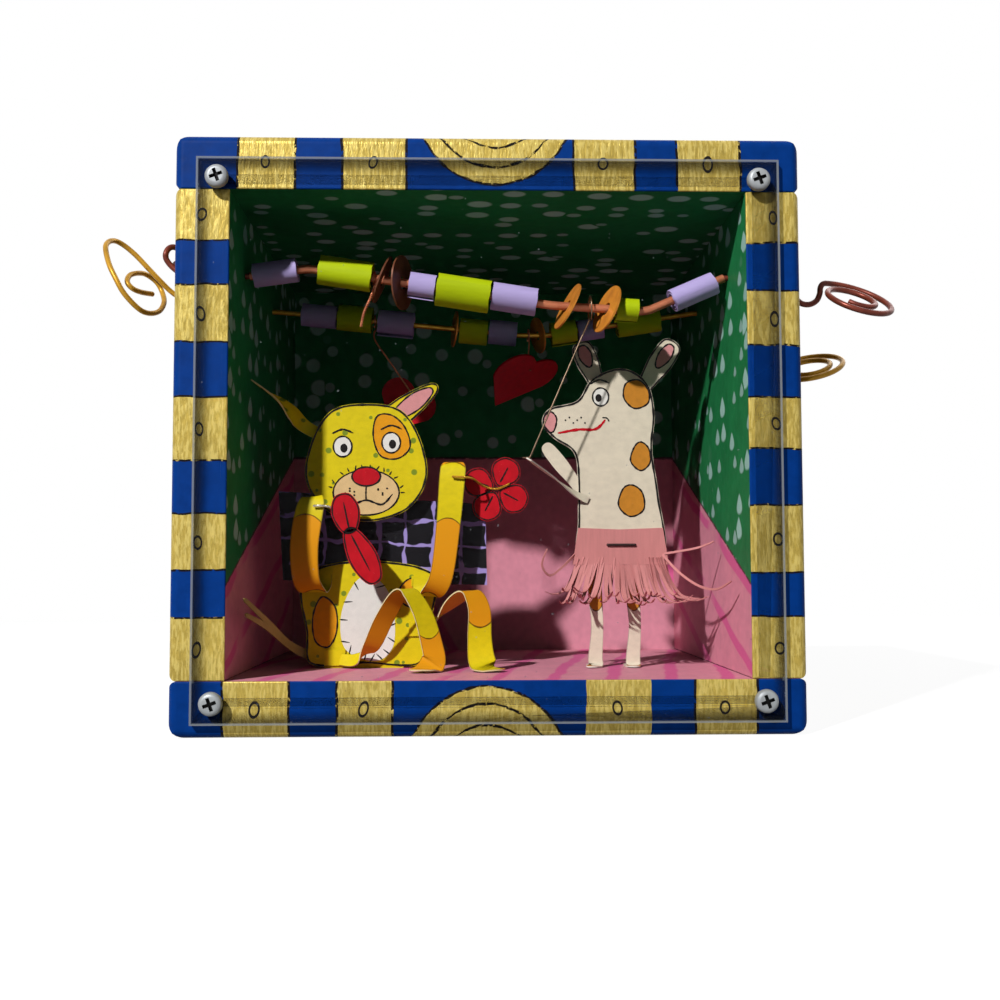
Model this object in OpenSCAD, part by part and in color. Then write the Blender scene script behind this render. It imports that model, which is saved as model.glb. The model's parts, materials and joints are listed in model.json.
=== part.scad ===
// Wooden shadow box with a clear screwed-on front, two turning wire garlands and two dogs of cut sheet.
// Millimetres. +Z is up, the front faces -Y, and the origin is the middle of the box's underside.

/* [Box] */
// Outside width of the box
box_w = 216; // [206:1:260]
// Outside height of the box
box_h = 206; // [196:1:260]
// Depth of the boards, front edge to back edge
box_d = 164; // [150:1:220]
// Thickness of the boards
board_t = 19; // [17:0.5:22]
// Rounding of the outer edges
edge_r = 3; // [1:0.5:6]
// Rounding of the long boards' ends, above and below
end_r = 6; // [3:0.5:8]
// Rounding of the boards' ends where they meet at the corners
joint_r = 3; // [1:0.5:4]
// Easing of the inner edges
inner_ease = 0.6; // [0.2:0.1:1.5]

/* [Back] */
// Thickness of the back panel
panel_t = 6; // [6:0.5:9]
// Depth of the recess behind the panel
panel_recess = 5; // [4:0.5:9]
// Width of the rabbet that the panel lies in
rabbet_w = 8; // [6:0.5:11]
// Gap round the panel in its rabbet
panel_gap = 0.3; // [0.1:0.1:0.8]
// Length of the sawtooth hanger
hanger_w = 45; // [30:1:60]
// Height of the sawtooth hanger
hanger_h = 8; // [6:0.5:12]
// Sheet of the hanger
hanger_t = 0.8; // [0.5:0.1:1.2]
// How far the hanger's middle stands off the panel
hanger_rise = 1.6; // [1:0.1:2.4]
// Distance from the ceiling line down to the hanger
hanger_drop = 24; // [15:1:60]

/* [Nails] */
// Diameter of a brad's shank
brad_d = 1.8; // [1.2:0.1:2.4]
// Length of a brad under its head
brad_len = 32; // [24:1:38]
// Diameter of a brad's head
brad_head_d = 3; // [2.6:0.1:4]
// Thickness of a brad's head
brad_head_t = 0.8; // [0.5:0.1:1.2]
// Distance of the corner brads from the front and back edges
brad_inset = 30; // [22:1:45]
// Diameter of a tack's shank
tack_d = 1.4; // [1:0.1:2]
// Diameter of a tack's head
tack_head_d = 3.6; // [2.4:0.1:5]
// Thickness of a tack's head
tack_head_t = 0.7; // [0.4:0.1:1.2]
// Length of a tack under its head
tack_len = 5; // [4:0.5:5.5]

/* [Cover] */
// Distance of the cover's sides from the sides of the box
cover_side_gap = 8; // [5:0.5:10]
// Distance of the cover's top from the top of the box
cover_top_gap = 8.7; // [5:0.1:9]
// Distance of the cover's lower edge from the underside of the box
cover_low_gap = 4.7; // [4:0.1:8]
// Thickness of the clear cover
cover_t = 3; // [2:0.5:5]
// Distance of the screws from the cover's edges
screw_inset = 7.2; // [6:0.1:8]
// Diameter of a screw's shank
screw_d = 4.2; // [3:0.1:5]
// Diameter of a screw's head
screw_head_d = 8; // [7:0.1:9]
// Height of a screw's head
screw_head_h = 2.6; // [2:0.1:3.5]
// Length of a screw under its head
screw_len = 19; // [12:1:25]
// Play of a screw in the cover
screw_play = 0.4; // [0.2:0.1:0.8]

/* [Garlands] */
// Diameter of the copper rod in its bores and outside the box
copper_d = 2.2; // [1.8:0.1:3]
// Diameter of the copper rod between the walls, where it carries the beads
copper_mid_d = 3.2; // [2.4:0.1:3.6]
// Diameter of the brass rod
brass_d = 2.2; // [1.8:0.1:3]
// Running play of a rod in its bore, on the diameter
rod_play = 0.16; // [0.04:0.02:0.2]
// Distance of the copper rod behind the front
copper_setback = 30; // [26:1:34]
// Distance of the brass rod behind the front
brass_setback = 90; // [80:1:110]
// Distance of both rods below the ceiling
rod_drop = 23; // [22:0.5:30]
// How far the straight journals stand out of the boards
journal_out = 1.5; // [1:0.1:2.5]
// Thickness of a loose disc
disc_t = 0.6; // [0.4:0.1:1]
// Play of a disc on its rod, on the diameter
disc_play = 1.8; // [1.6:0.1:3]
// Diameter of the hanging wires
wire_d = 1; // [0.8:0.1:1.4]
// Play of a heart's ring on the brass rod, on the diameter
ring_play = 1.2; // [0.8:0.1:2]
// Play of the pull wire's eye on the copper rod, on the diameter
pull_play = 4.4; // [4:0.1:6]
// Stock of a wire ring, along the rod and across it
ring_stock = 1.2; // [1.2:0.1:1.5]
// Width of the left heart
left_heart_w = 24; // [18:1:28]
// Width of the right heart
right_heart_w = 34; // [26:1:36]
// Distance of the left heart's hole below the brass rod
left_heart_drop = 30.8; // [26:0.1:34]
// Distance of the right heart's hole below the brass rod
right_heart_drop = 14.2; // [14:0.1:20]

/* [Figures] */
// Thickness of the cut sheet
sheet_t = 0.8; // [0.5:0.1:1]
// Distance of the seated dog's middle from the left wall
seated_wall_gap = 42; // [40:0.5:45]
// Distance of the seated dog behind the front
seated_setback = 53; // [50:0.5:60]
// How far the seated dog's head stands in front of its body
head_lift = 5; // [3:0.5:6]
// Distance of the standing dog's middle from the right wall
standing_wall_gap = 39; // [37:0.5:42]
// Distance of the standing dog behind the front
standing_setback = 50; // [48:0.5:60]
// Strands in the skirt's fringe
fringe_count = 15; // [9:1:17]
// Depth of the tabs that hold the figures to the floor
tab_d = 8; // [7:0.5:12]

/* [Hidden] */
$fn = 48;
tube_sides = 8;
loop_steps = 24;
spline_steps = 4;
lavender = "#a18cc4";
lime = "#9db51a";
copper = "#b0683a";
brass = "#c29a3a";
red = "#b01624";
yellow = "#d8b81e";
cream = "#e6dcc8";
blue = "#0b2f94";

front_y = -box_d / 2;
back_y = box_d / 2;
inner_w = box_w - 2 * board_t;
inner_h = box_h - 2 * board_t;
floor_z = board_t;
ceiling_z = box_h - board_t;
panel_front_y = back_y - panel_recess - panel_t;
panel_back_y = panel_front_y + panel_t;
rod_z = ceiling_z - rod_drop;
copper_y = front_y + copper_setback;
brass_y = front_y + brass_setback;
wire_r = wire_d / 2;
bend_swell = 1.1;
cover_w = box_w - 2 * cover_side_gap;
cover_h = box_h - cover_top_gap - cover_low_gap;
cover_mid_z = cover_low_gap + cover_h / 2;
seated_x = seated_wall_gap - inner_w / 2;
seated_y = front_y + seated_setback;
head_y = seated_y - head_lift;
standing_x = inner_w / 2 - standing_wall_gap;
standing_y = front_y + standing_setback;

// Pieces on each rod from the left wall to the right wall: kind, room on the rod, diameter, pitch and yaw
copper_items = [
    ["lavender", 16, 10, 0, 0],
    ["lime", 19.4, 12, 0, 0],
    ["disc", 2, 18, 22, 0],
    ["disc", 2, 20, 3, -18.8],
    ["lavender", 9.6, 9.5, 0, 0],
    ["lime", 19.6, 13, 0, 0],
    ["lavender", 16.6, 11, 0, 0],
    ["disc", 2, 18.5, 25, 14.4],
    ["disc", 2, 18.5, 19.4, 20.7],
    ["lime", 8, 10, 0, 0],
    ["lavender", 17, 10, 0, 0]
];
copper_gaps = [3, 8, 2.7, 5.3, 1.6, 0.6, 0.6, 10.5, 12.5, 2.5, 12, 4.5];
brass_items = [
    ["lavender", 14.3, 11, 0, 0],
    ["lime", 14.1, 12, 0, 0],
    ["lavender", 15, 11, 0, 0],
    ["disc", 2, 15, 5, 10],
    ["lime", 11.6, 11.5, 0, 0],
    ["lavender", 11.6, 11, 0, 0],
    ["disc", 2, 15, -12, 18],
    ["lime", 10.6, 11.5, 0, 0],
    ["lavender", 10.6, 10.5, 0, 0],
    ["lime", 18, 12.5, 0, 0]
];
brass_gaps = [12.5, 0.6, 2.5, 16, 1.2, 0.6, 8, 4.4, 0.6, 5.8, 16];

// Bends of each rod: the gap that it lies in, its share of that gap and its rise from the axis
copper_bends = [[1, 0.5, 3], [7, 0.5, -10.4], [10, 0.25, -12.6]];
brass_bends = [[6, 0.2, -9.6], [7, 0.5, -9.6]];
copper_bend_cut = 2.4;
brass_bend_cut = 1.4;
// A rod's bent stretches are drawn a little thinner than its journals
thinning = 0.97;
// Overlap of a bent stretch with the journal that it grows out of
journal_lap = 1;

// Sums, directions and places
function total(v, n) = n <= 0 ? 0 : v[n - 1] + total(v, n - 1);
function unit(v) = v / norm(v);
function rooms(items) = [for (it = items) it[1]];
function gap_scale(items, gaps) =
    (inner_w - total(rooms(items), len(items))) / total(gaps, len(gaps));
function item_x(items, gaps, i) =
    total(rooms(items), i) + items[i][1] / 2 + gap_scale(items, gaps) * total(gaps, i + 1) - inner_w / 2;
function gap_x(items, gaps, i, share) =
    total(rooms(items), i) + gap_scale(items, gaps) * (total(gaps, i) + share * gaps[i]) - inner_w / 2;
function rod_line(items, gaps, bends) = concat(
    [[journal_out - inner_w / 2, rod_z]],
    [for (b = bends) [gap_x(items, gaps, b[0], b[1]), rod_z + b[2]]],
    [[inner_w / 2 - journal_out, rod_z]]);
function slope_at(line, x) = atan2(lookup(x + 0.1, line) - lookup(x - 0.1, line), 0.2);
function numbers(items, discs) = [for (i = [0 : len(items) - 1]) if ((items[i][0] == "disc") == discs) i];

copper_line = rod_line(copper_items, copper_gaps, copper_bends);
brass_line = rod_line(brass_items, brass_gaps, brass_bends);
pull_x = gap_x(copper_items, copper_gaps, 8, 0.58);
pigtail_x = gap_x(copper_items, copper_gaps, 2, 0.3);
left_heart_x = gap_x(brass_items, brass_gaps, 2, 0.5);
right_heart_x = gap_x(brass_items, brass_gaps, 6, 0.62);

// Curves
function arc(c, r, from, to, n = 6) =
    [for (i = [0 : n]) let(a = from + (to - from) * i / n) c + r * [cos(a), sin(a)]];
function eased_rect(w, h, r) = concat(
    arc([w / 2 - r[0], h / 2 - r[0]], r[0], 0, 90), arc([r[1] - w / 2, h / 2 - r[1]], r[1], 90, 180),
    arc([r[2] - w / 2, r[2] - h / 2], r[2], 180, 270), arc([w / 2 - r[3], r[3] - h / 2], r[3], 270, 360));
function spline(a, b, c, d, t) =
    0.5 * (2 * b + (c - a) * t + (2 * a - 5 * b + 4 * c - d) * t * t + (3 * b - a - 3 * c + d) * t * t * t);
function smooth_loop(p, steps = spline_steps) = let(n = len(p))
    [for (i = [0 : n - 1], k = [0 : steps - 1])
        spline(p[(i + n - 1) % n], p[i], p[(i + 1) % n], p[(i + 2) % n], k / steps)];
function smooth_path(p, steps = spline_steps) = let(n = len(p)) concat(
    [for (i = [0 : n - 2], k = [0 : steps - 1])
        spline(p[max(i - 1, 0)], p[i], p[i + 1], p[min(i + 2, n - 1)], k / steps)],
    [p[n - 1]]);
function shifted(p, by) = [for (q = p) q + by];
function leaf(base, tip, half) =
    let(u = unit(tip - base), n = [-u[1], u[0]], l = norm(tip - base), k = len(half) - 1)
    smooth_loop(concat(
        [for (i = [0 : k]) base + u * l * i / k + n * half[i]],
        [for (i = [k : -1 : 0]) base + u * l * i / k - n * half[i]]));
function corner(a, b, c, cut) =
    let(p = b + unit(a - b) * cut, q = b + unit(c - b) * cut)
    [for (t = [0 : 0.25 : 1]) (1 - t) * (1 - t) * p + 2 * t * (1 - t) * b + t * t * q];
function eased_path(p, cut) = concat(
    [p[0]], [for (i = [1 : len(p) - 2]) each corner(p[i - 1], p[i], p[i + 1], cut)], [p[len(p) - 1]]);
function spiral(start, heading, side, r_out, r_in, turns) =
    let(n = ceil(turns * loop_steps))
    [for (i = [0 : n]) let(a = 360 * turns * i / n, r = r_out + (r_in - r_out) * i / n)
        start + side * (r_out - r * cos(a)) + heading * r * sin(a)];

// Skins: rings of points joined into one closed solid
function tangents(p) = let(n = len(p) - 1) [for (i = [0 : n]) unit(p[min(i + 1, n)] - p[max(i - 1, 0)])];
function any_normal(t) = unit(cross(t, abs(t[2]) < 0.9 ? [0, 0, 1] : [0, 1, 0]));
function square_to(v, t) = unit(v - (v * t) * t);
function normals(t) =
    [for (i = 0, n = any_normal(t[0]); i < len(t); i = i + 1, n = i < len(t) ? square_to(n, t[i]) : n) n];
function tube_rings(p, r, sides = tube_sides) = let(t = tangents(p), n = normals(t))
    [for (i = [0 : len(p) - 1]) [for (k = [0 : sides - 1]) let(a = 360 * k / sides)
        p[i] + r * (cos(a) * n[i] + sin(a) * cross(t[i], n[i]))]];
function xyz(v, at = 0) = [v[at], v[at + 1], v[at + 2]];
function strip_rings(s, h) =
    let(p = [for (v = s) xyz(v)], t = tangents(p))
    [for (i = [0 : len(p) - 1])
        let(a = square_to(xyz(s[i], 3), t[i]) * s[i][6] / 2, b = cross(t[i], unit(a)) * h / 2)
        [p[i] + a + b, p[i] - a + b, p[i] - a - b, p[i] + a - b]];
function skin_faces(n, m) = concat(
    [for (i = [0 : n - 2], j = [0 : m - 1], half = [0, 1]) let(k = (j + 1) % m)
        half == 0 ? [i * m + j, (i + 1) * m + j, (i + 1) * m + k] : [i * m + j, (i + 1) * m + k, i * m + k]],
    [for (j = [1 : m - 2]) [0, j, j + 1]],
    [for (j = [1 : m - 2]) [(n - 1) * m, (n - 1) * m + j + 1, (n - 1) * m + j]]);
module skin(rings) {
    polyhedron([for (r = rings) each r], skin_faces(len(rings), len(rings[0])), convexity = 6);
}
module wire(points, d) skin(tube_rings(points, d / 2));
// A bent strip; each row of the path is a point, the direction of the width, and the width
module strip(path) skin(strip_rings(smooth_path(path), sheet_t));
// A flat sheet standing in the plane of the front, its back face at the given depth
module standing_sheet(outline, y) {
    translate([0, y, 0]) rotate([90, 0, 0]) linear_extrude(sheet_t) polygon(outline);
}
module rod_between(a, b, d) {
    v = b - a;
    translate(a) rotate([0, acos(v[2] / norm(v)), atan2(v[1], v[0])]) cylinder(h = norm(v), d = d);
}
module ring_x(inner_d, outer_d, w) {
    rotate([0, 90, 0]) difference() {
        cylinder(h = w, d = outer_d, center = true);
        cylinder(h = w + 1, d = inner_d, center = true);
    }
}
module wire_ring(inner_d) ring_x(inner_d, inner_d + 2 * ring_stock, ring_stock);
// Lowest point on the middle line of a wire ring's stock
function under_ring(at, inner_d) = at - [0, 0, (inner_d + ring_stock) / 2];
// A bend in a hanging wire, drawn as a small ball
module wire_bend(at) translate(at) sphere(d = bend_swell * wire_d);
// Least gap of a wound wire to itself, measured between points more than half a turn apart
function least_gap(p, d) = min([for (i = [0 : len(p) - 1], j = [0 : len(p) - 1])
    if (j - i > loop_steps / 2) norm(p[j] - p[i]) - d]);

// Boards
module eased_block(w, d, h, front, side, plan) {
    intersection() {
        rotate([90, 0, 0]) linear_extrude(d, center = true) polygon(eased_rect(w, h, front));
        rotate([90, 0, 90]) linear_extrude(w, center = true) polygon(eased_rect(d, h, side));
        linear_extrude(h, center = true) polygon(eased_rect(w, d, plan));
    }
}
module panel_pocket() {
    translate([-inner_w / 2 - rabbet_w, panel_front_y, floor_z - rabbet_w])
        cube([inner_w + 2 * rabbet_w, box_d, inner_h + 2 * rabbet_w]);
}
module long_board() {
    eased_block(box_w, box_d, board_t,
        [end_r, end_r, joint_r, joint_r], [edge_r, edge_r, inner_ease, inner_ease],
        [edge_r, edge_r, edge_r, edge_r]);
}
module side_board(side) {
    difference() {
        translate([side * (box_w - board_t) / 2, 0, box_h / 2]) mirror([side > 0 ? 1 : 0, 0, 0])
            eased_block(board_t, box_d, inner_h,
                [inner_ease, joint_r, joint_r, inner_ease],
                [inner_ease, inner_ease, inner_ease, inner_ease],
                [inner_ease, edge_r, edge_r, inner_ease]);
        panel_pocket();
        brads();
        rod_bores();
    }
}
module rod_bores() {
    for (b = [[copper_y, copper_d], [brass_y, brass_d]]) translate([0, b[0], rod_z]) rotate([0, 90, 0])
        cylinder(h = 2 * box_w, d = b[1] + rod_play, center = true);
}
module top_board() {
    color(blue) difference() {
        translate([0, 0, box_h - board_t / 2]) long_board();
        panel_pocket();
        brads();
        cover_screws();
    }
}
module bottom_board() {
    color(blue) difference() {
        translate([0, 0, board_t / 2]) mirror([0, 0, 1]) long_board();
        panel_pocket();
        brads();
        cover_screws();
        floor_tacks();
    }
}
module left_board() color(blue) side_board(-1);
module right_board() color(blue) side_board(1);

// Back
module back_panel() {
    color("#2a5138") difference() {
        translate([panel_gap - inner_w / 2 - rabbet_w, panel_front_y, floor_z - rabbet_w + panel_gap])
            cube([inner_w + 2 * (rabbet_w - panel_gap), panel_t, inner_h + 2 * (rabbet_w - panel_gap)]);
        brads();
        hanger_nails();
    }
}
module brad() {
    translate([0, 0, -brad_head_t]) cylinder(h = brad_head_t, d = brad_head_d);
    translate([0, 0, -brad_head_t - brad_len]) cylinder(h = brad_len, d = brad_d);
}
module brads() {
    color("silver") {
        for (sx = [-1, 1], sy = [-1, 1], top = [0, 1])
            translate([sx * (box_w - board_t) / 2, sy * (back_y - brad_inset), top * box_h])
                rotate([180 * (1 - top), 0, 0]) brad();
        for (sx = [-1, 1], sz = [-1, 1])
            translate([sx * (inner_w + rabbet_w) / 2, panel_back_y, box_h / 2 + sz * inner_h / 4])
                rotate([-90, 0, 0]) brad();
        for (sx = [-1, 1], sz = [-1, 1])
            translate([sx * inner_w / 4, panel_back_y, box_h / 2 + sz * (inner_h + rabbet_w) / 2])
                rotate([-90, 0, 0]) brad();
    }
}
hanger_z = ceiling_z - hanger_drop;
hanger_end = 9;
hanger_teeth = 9;
tooth_w = 2.4;
tooth_h = 1.8;
module sawtooth_hanger() {
    rise = hanger_rise;
    half = hanger_w / 2;
    flat = half - hanger_end;
    bend = flat - rise;
    color("gold") difference() {
        translate([0, panel_back_y, hanger_z]) linear_extrude(hanger_h, center = true) polygon([
            [-half, 0], [-flat, 0], [-bend, rise], [bend, rise], [flat, 0], [half, 0],
            [half, hanger_t], [flat, hanger_t], [bend, rise + hanger_t],
            [-bend, rise + hanger_t], [-flat, hanger_t], [-half, hanger_t]]);
        for (i = [0 : hanger_teeth - 1])
            translate([(i - (hanger_teeth - 1) / 2) * tooth_w, 0, hanger_z - hanger_h / 2]) rotate([90, 0, 0])
                linear_extrude(2 * box_d, center = true)
                    polygon([[-tooth_w / 2, -1], [tooth_w / 2, -1], [0, tooth_h]]);
        hanger_nails();
    }
}
module tack(len) {
    cylinder(h = tack_head_t, d = tack_head_d);
    translate([0, 0, -len]) cylinder(h = len, d = tack_d);
}
module hanger_nails() {
    color("silver") for (sx = [-1, 1])
        translate([sx * (hanger_w - hanger_end) / 2, panel_back_y + hanger_t, hanger_z])
            rotate([-90, 0, 0]) tack(tack_len);
}

// Cover
module cover_plate() {
    color([0.8, 0.9, 0.95, 0.3]) difference() {
        translate([-cover_w / 2, front_y - cover_t, cover_mid_z - cover_h / 2])
            cube([cover_w, cover_t, cover_h]);
        screw_places() cylinder(h = 4 * cover_t, d = screw_d + screw_play, center = true);
    }
}
module screw_places() {
    for (sx = [-1, 1], sz = [-1, 1])
        translate([sx * (cover_w / 2 - screw_inset), front_y - cover_t,
            cover_mid_z + sz * (cover_h / 2 - screw_inset)]) rotate([90, 0, 0]) children();
}
cross_l = 4.6;
cross_w = 1.2;
cross_deep = 1.5;
screw_rim = 0.9;
module cover_screws() {
    rise = screw_head_h - screw_rim;
    color("silver") screw_places() difference() {
        union() {
            rotate_extrude() polygon(concat([[0, 0], [screw_head_d / 2, 0]],
                [for (a = [0 : 15 : 90]) [screw_head_d / 2 - rise * (1 - cos(a)), screw_rim + rise * sin(a)]],
                [[0, screw_head_h]]));
            translate([0, 0, -screw_len]) cylinder(h = screw_len + screw_rim, d = screw_d);
        }
        for (a = [0, 90]) rotate([0, 0, a + 20]) translate([0, 0, screw_head_h])
            cube([cross_l, cross_w, 2 * cross_deep], center = true);
    }
}

// Garlands
module garland_bead(items, gaps, line, y, rod_d, i) {
    x = item_x(items, gaps, i);
    color(items[i][0] == "lime" ? lime : lavender)
        translate([x, y, lookup(x, line)]) rotate([0, 90 - slope_at(line, x), 0]) difference() {
            cylinder(h = items[i][1], d = items[i][2], center = true);
            cylinder(h = 2 * items[i][1], d = rod_d * thinning, center = true);
        }
}
module garland_disc(items, gaps, line, y, rod_d, i) {
    x = item_x(items, gaps, i);
    color(copper) translate([x, y, lookup(x, line)]) rotate([0, items[i][3], items[i][4]])
        ring_x(rod_d + disc_play, items[i][2], disc_t);
}
module garland_rod(line, y, d, mid_d, cut, left_end, right_end) {
    thin = d * thinning;
    mid = [for (p = line) [p[0], y, p[1]]];
    lap = [journal_lap, 0, 0];
    wire(concat([mid[0] - lap], eased_path(mid, cut), [mid[len(mid) - 1] + lap]), mid_d * thinning);
    for (side = [-1, 1]) translate([side * (inner_w + board_t) / 2, y, rod_z]) rotate([0, 90, 0])
        cylinder(h = board_t + 2 * journal_out, d = d, center = true);
    wire(left_end, thin);
    wire(right_end, thin);
}
// Ends outside the boards: points from the journal outwards, then a flat spiral where the wire is wound
function set_out(side, y, points) = [for (p = concat([[-journal_lap, 0, 0]], points))
    [side * (box_w / 2 + journal_out + p[0]), y + p[1], rod_z + p[2]]];
function wound_end(side, y, stem, heading, turn_to, r_out, r_in, turns) =
    let(out = set_out(side, y, stem), curl = spiral(out[len(stem)], heading, turn_to, r_out, r_in, turns))
    concat(smooth_path(out), [for (i = [1 : len(curl) - 1]) curl[i]]);

copper_left_end = wound_end(-1, copper_y,
    [[0, 0, 0], [1.4, 0, 0.1], [3.6, 0, 1.2], [6.6, 0, 3.6], [8.4, -0.3, 6], [8.7, -0.6, 7.6]],
    [0, 0, 1], [0.6, 0.8, 0], 4.6, 2.2, 0.8);
copper_right_end = wound_end(1, copper_y,
    [[0, 0, 0], [1.4, 0, -0.3], [3, 0, -2.2], [4.4, 0, -6.4], [6.8, 0, -9.2], [10, 0, -9.7],
    [12.8, 0.3, -8.2],
        [14.1, 0.5, -5.6], [14.5, 0.9, -3.3], [15.4, 1.4, -1.8], [16.73, 2, -1.22]],
    unit([0.844, 0.521, 0.131]), unit([0.498, -0.669, -0.552]), 15.6, 5.4, 1.7);
brass_left_end = smooth_path(set_out(-1, brass_y, [
    [0, 0, 0], [1.4, 0, 0], [4, 0, 0.2], [8, -0.2, 0.9], [14, -0.8, 3.4], [20.6, -2.2, 7.4],
    [25.3, -4.4, 11.9],
    [29.9, -6, 16.8], [34.9, -6.8, 22.1], [39.4, -8.2, 25.8], [42.2, -11, 26.8], [43.5, -15.3, 25.1],
    [43.2, -19.8, 21.4], [40.4, -24.3, 13.9], [37.2, -26.3, 7.8], [33.6, -26.2, 1.4], [28.5, -23.4, -4.1],
    [25.7, -17.8, -4.6], [24, -9.9, -1.9], [24.1, -2.4, 3.4], [25.9, 1.4, 8.5], [28, 1.4, 12.4],
    [30.7, -0.6, 14.7], [32.9, -4.4, 15.1], [34.9, -11.5, 12.9], [35.4, -15.6, 10.2], [34.6, -18, 7.4],
    [32.6, -17.2, 5.4], [30.6, -12.6, 5.2], [28, -6, 6]]));
brass_right_end = wound_end(1, brass_y,
    [[0, 0, 0], [1.4, 0, -0.3], [3, 0, -2.4], [4.2, 0, -9], [7.2, 0.6, -16], [13, 1.2, -19.8],
    [19, 0.9, -20.2],
        [24.4, -0.07, -19.1]],
    unit([0.96, -0.203, 0.195]), unit([-0.098, -0.89, -0.445]), 15, 6.5, 1.7);
echo(least_gaps = [
    least_gap(copper_left_end, copper_d), least_gap(copper_right_end, copper_d),
    least_gap(brass_left_end, brass_d), least_gap(brass_right_end, brass_d)]);

module copper_rod() {
    color(copper) garland_rod(copper_line, copper_y, copper_d, copper_mid_d, copper_bend_cut,
        copper_left_end, copper_right_end);
}
module brass_rod() {
    color(brass) garland_rod(brass_line, brass_y, brass_d, brass_d, brass_bend_cut,
        brass_left_end, brass_right_end);
}
// Short wire end wrapped on the copper rod
pigtail_hang = [-4.5, -5, -19];
module copper_pigtail() {
    at = [pigtail_x, copper_y, lookup(pigtail_x, copper_line)];
    ring_d = copper_mid_d * thinning;
    color(copper) union() {
        translate(at) rotate([0, -slope_at(copper_line, pigtail_x), 0])
            wire_ring(ring_d);
        rod_between(under_ring(at, ring_d), at + pigtail_hang, wire_d);
    }
}

// Hearts on the brass rod
heart_lobe = 0.29;
heart_hole_up = 2.6;
// Straight drop of a heart's wire, past the beads beside it
heart_knee = 8;
heart_point = 0.62;
// Reach of the wire's pin on each side of the sheet
pin_reach = 1.5;
function face_of(turn) = [cos(turn[2]) * sin(turn[1]) * cos(turn[0]) + sin(turn[2]) * sin(turn[0]),
    sin(turn[2]) * sin(turn[1]) * cos(turn[0]) - cos(turn[2]) * sin(turn[0]), cos(turn[1]) * cos(turn[0])];
function heart(w) = let(r = w * heart_lobe, notch = acos((r - w / 2) / r)) concat(
    arc([w / 2 - r, 0], r, -30, notch, 10), arc([r - w / 2, 0], r, 190 - notch, 210, 10),
        [[0, -w * heart_point]]);
function heart_at(x, shift, drop) = [x + shift, brass_y, lookup(x, brass_line) - drop];
module hung_heart(x, shift, drop, w, turn) {
    color(red) difference() {
        translate(heart_at(x, shift, drop)) rotate(turn) linear_extrude(sheet_t, center = true)
            translate([0, -heart_hole_up]) polygon(heart(w));
        heart_wire(x, shift, drop, turn);
    }
}
module heart_wire(x, shift, drop, turn) {
    at = [x, brass_y, lookup(x, brass_line)];
    ring_d = brass_d + ring_play;
    hole = heart_at(x, shift, drop);
    knee = at - [0, 1.5 * sheet_t, heart_knee];
    before = ((knee - hole) * face_of(turn) < 0 ? -pin_reach : pin_reach) * face_of(turn);
    bend = hole + before;
    color(copper) union() {
        translate(at) wire_ring(ring_d);
        rod_between(under_ring(at, ring_d), knee, wire_d);
        wire_bend(knee);
        rod_between(knee, bend, wire_d);
        wire_bend(bend);
        rod_between(bend, hole - before, wire_d);
    }
}
// Shift of each heart along the rod from its ring, and the turn of its sheet from lying flat
left_heart_shift = 15.5;
left_heart_turn = [90, 30, 0];
right_heart_shift = 0.5;
right_heart_turn = [145.5, 0.7, 46.5];
module left_heart()
    hung_heart(left_heart_x, left_heart_shift, left_heart_drop, left_heart_w, left_heart_turn);
module left_heart_wire() heart_wire(left_heart_x, left_heart_shift, left_heart_drop, left_heart_turn);
module right_heart()
    hung_heart(right_heart_x, right_heart_shift, right_heart_drop, right_heart_w, right_heart_turn);
module right_heart_wire() heart_wire(right_heart_x, right_heart_shift, right_heart_drop, right_heart_turn);

// Seated dog: points are measured from the middle of its body on the floor
seated_at = [seated_x, seated_y, floor_z];
function seated_outline(p) = shifted(p, [seated_x, floor_z]);
function placed_strip(rows, at) = [for (r = rows) [r[0] + at[0], r[1] + at[1], r[2] + at[2], r[3], r[4],
    r[5], r[6]]];
module seated_block(corner, size) translate(seated_at + corner) cube(size);
tack_spread = 9;
function seated_tacks() = [for (s = [-1, 1]) [seated_x + s * tack_spread, seated_y + tab_d / 2]];
module seated_body() {
    color(yellow) difference() {
        union() {
            standing_sheet(seated_outline(smooth_loop([[-20, 1.4], [-22, 14], [-24.5, 29], [-20, 37],
                [-7, 40.5],
                [8, 40.5], [22, 38], [28, 32], [24.5, 15], [21, 1.4], [0, 1.6]])), seated_y);
            translate([seated_x - 15, seated_y, floor_z]) cube([30, tab_d, sheet_t]);
            translate([seated_x - 15, seated_y - sheet_t, floor_z]) cube([30, sheet_t, 3]);
        }
        floor_tacks();
    }
}
head_mid = [1, 78];
module seated_head() {
    color(yellow) standing_sheet(seated_outline(shifted(smooth_loop([[0, 22.5], [-13, 20], [-20.5, 9],
        [-23, -6],
        [-15.5, -18], [0, -22.5], [15.5, -18], [23, -6], [20.5, 9], [13, 20]]), head_mid)), head_y);
}
module seated_neck_tab() {
    neck_w = 12;
    flange = 7;
    low = 58;
    color(yellow) {
        seated_block([-neck_w / 2, -sheet_t, low], [neck_w, sheet_t, flange]);
        seated_block([-neck_w / 2, -head_lift, low + flange], [neck_w, head_lift, sheet_t]);
        seated_block([-neck_w / 2, -head_lift, low + flange], [neck_w, sheet_t, flange]);
    }
}
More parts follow.
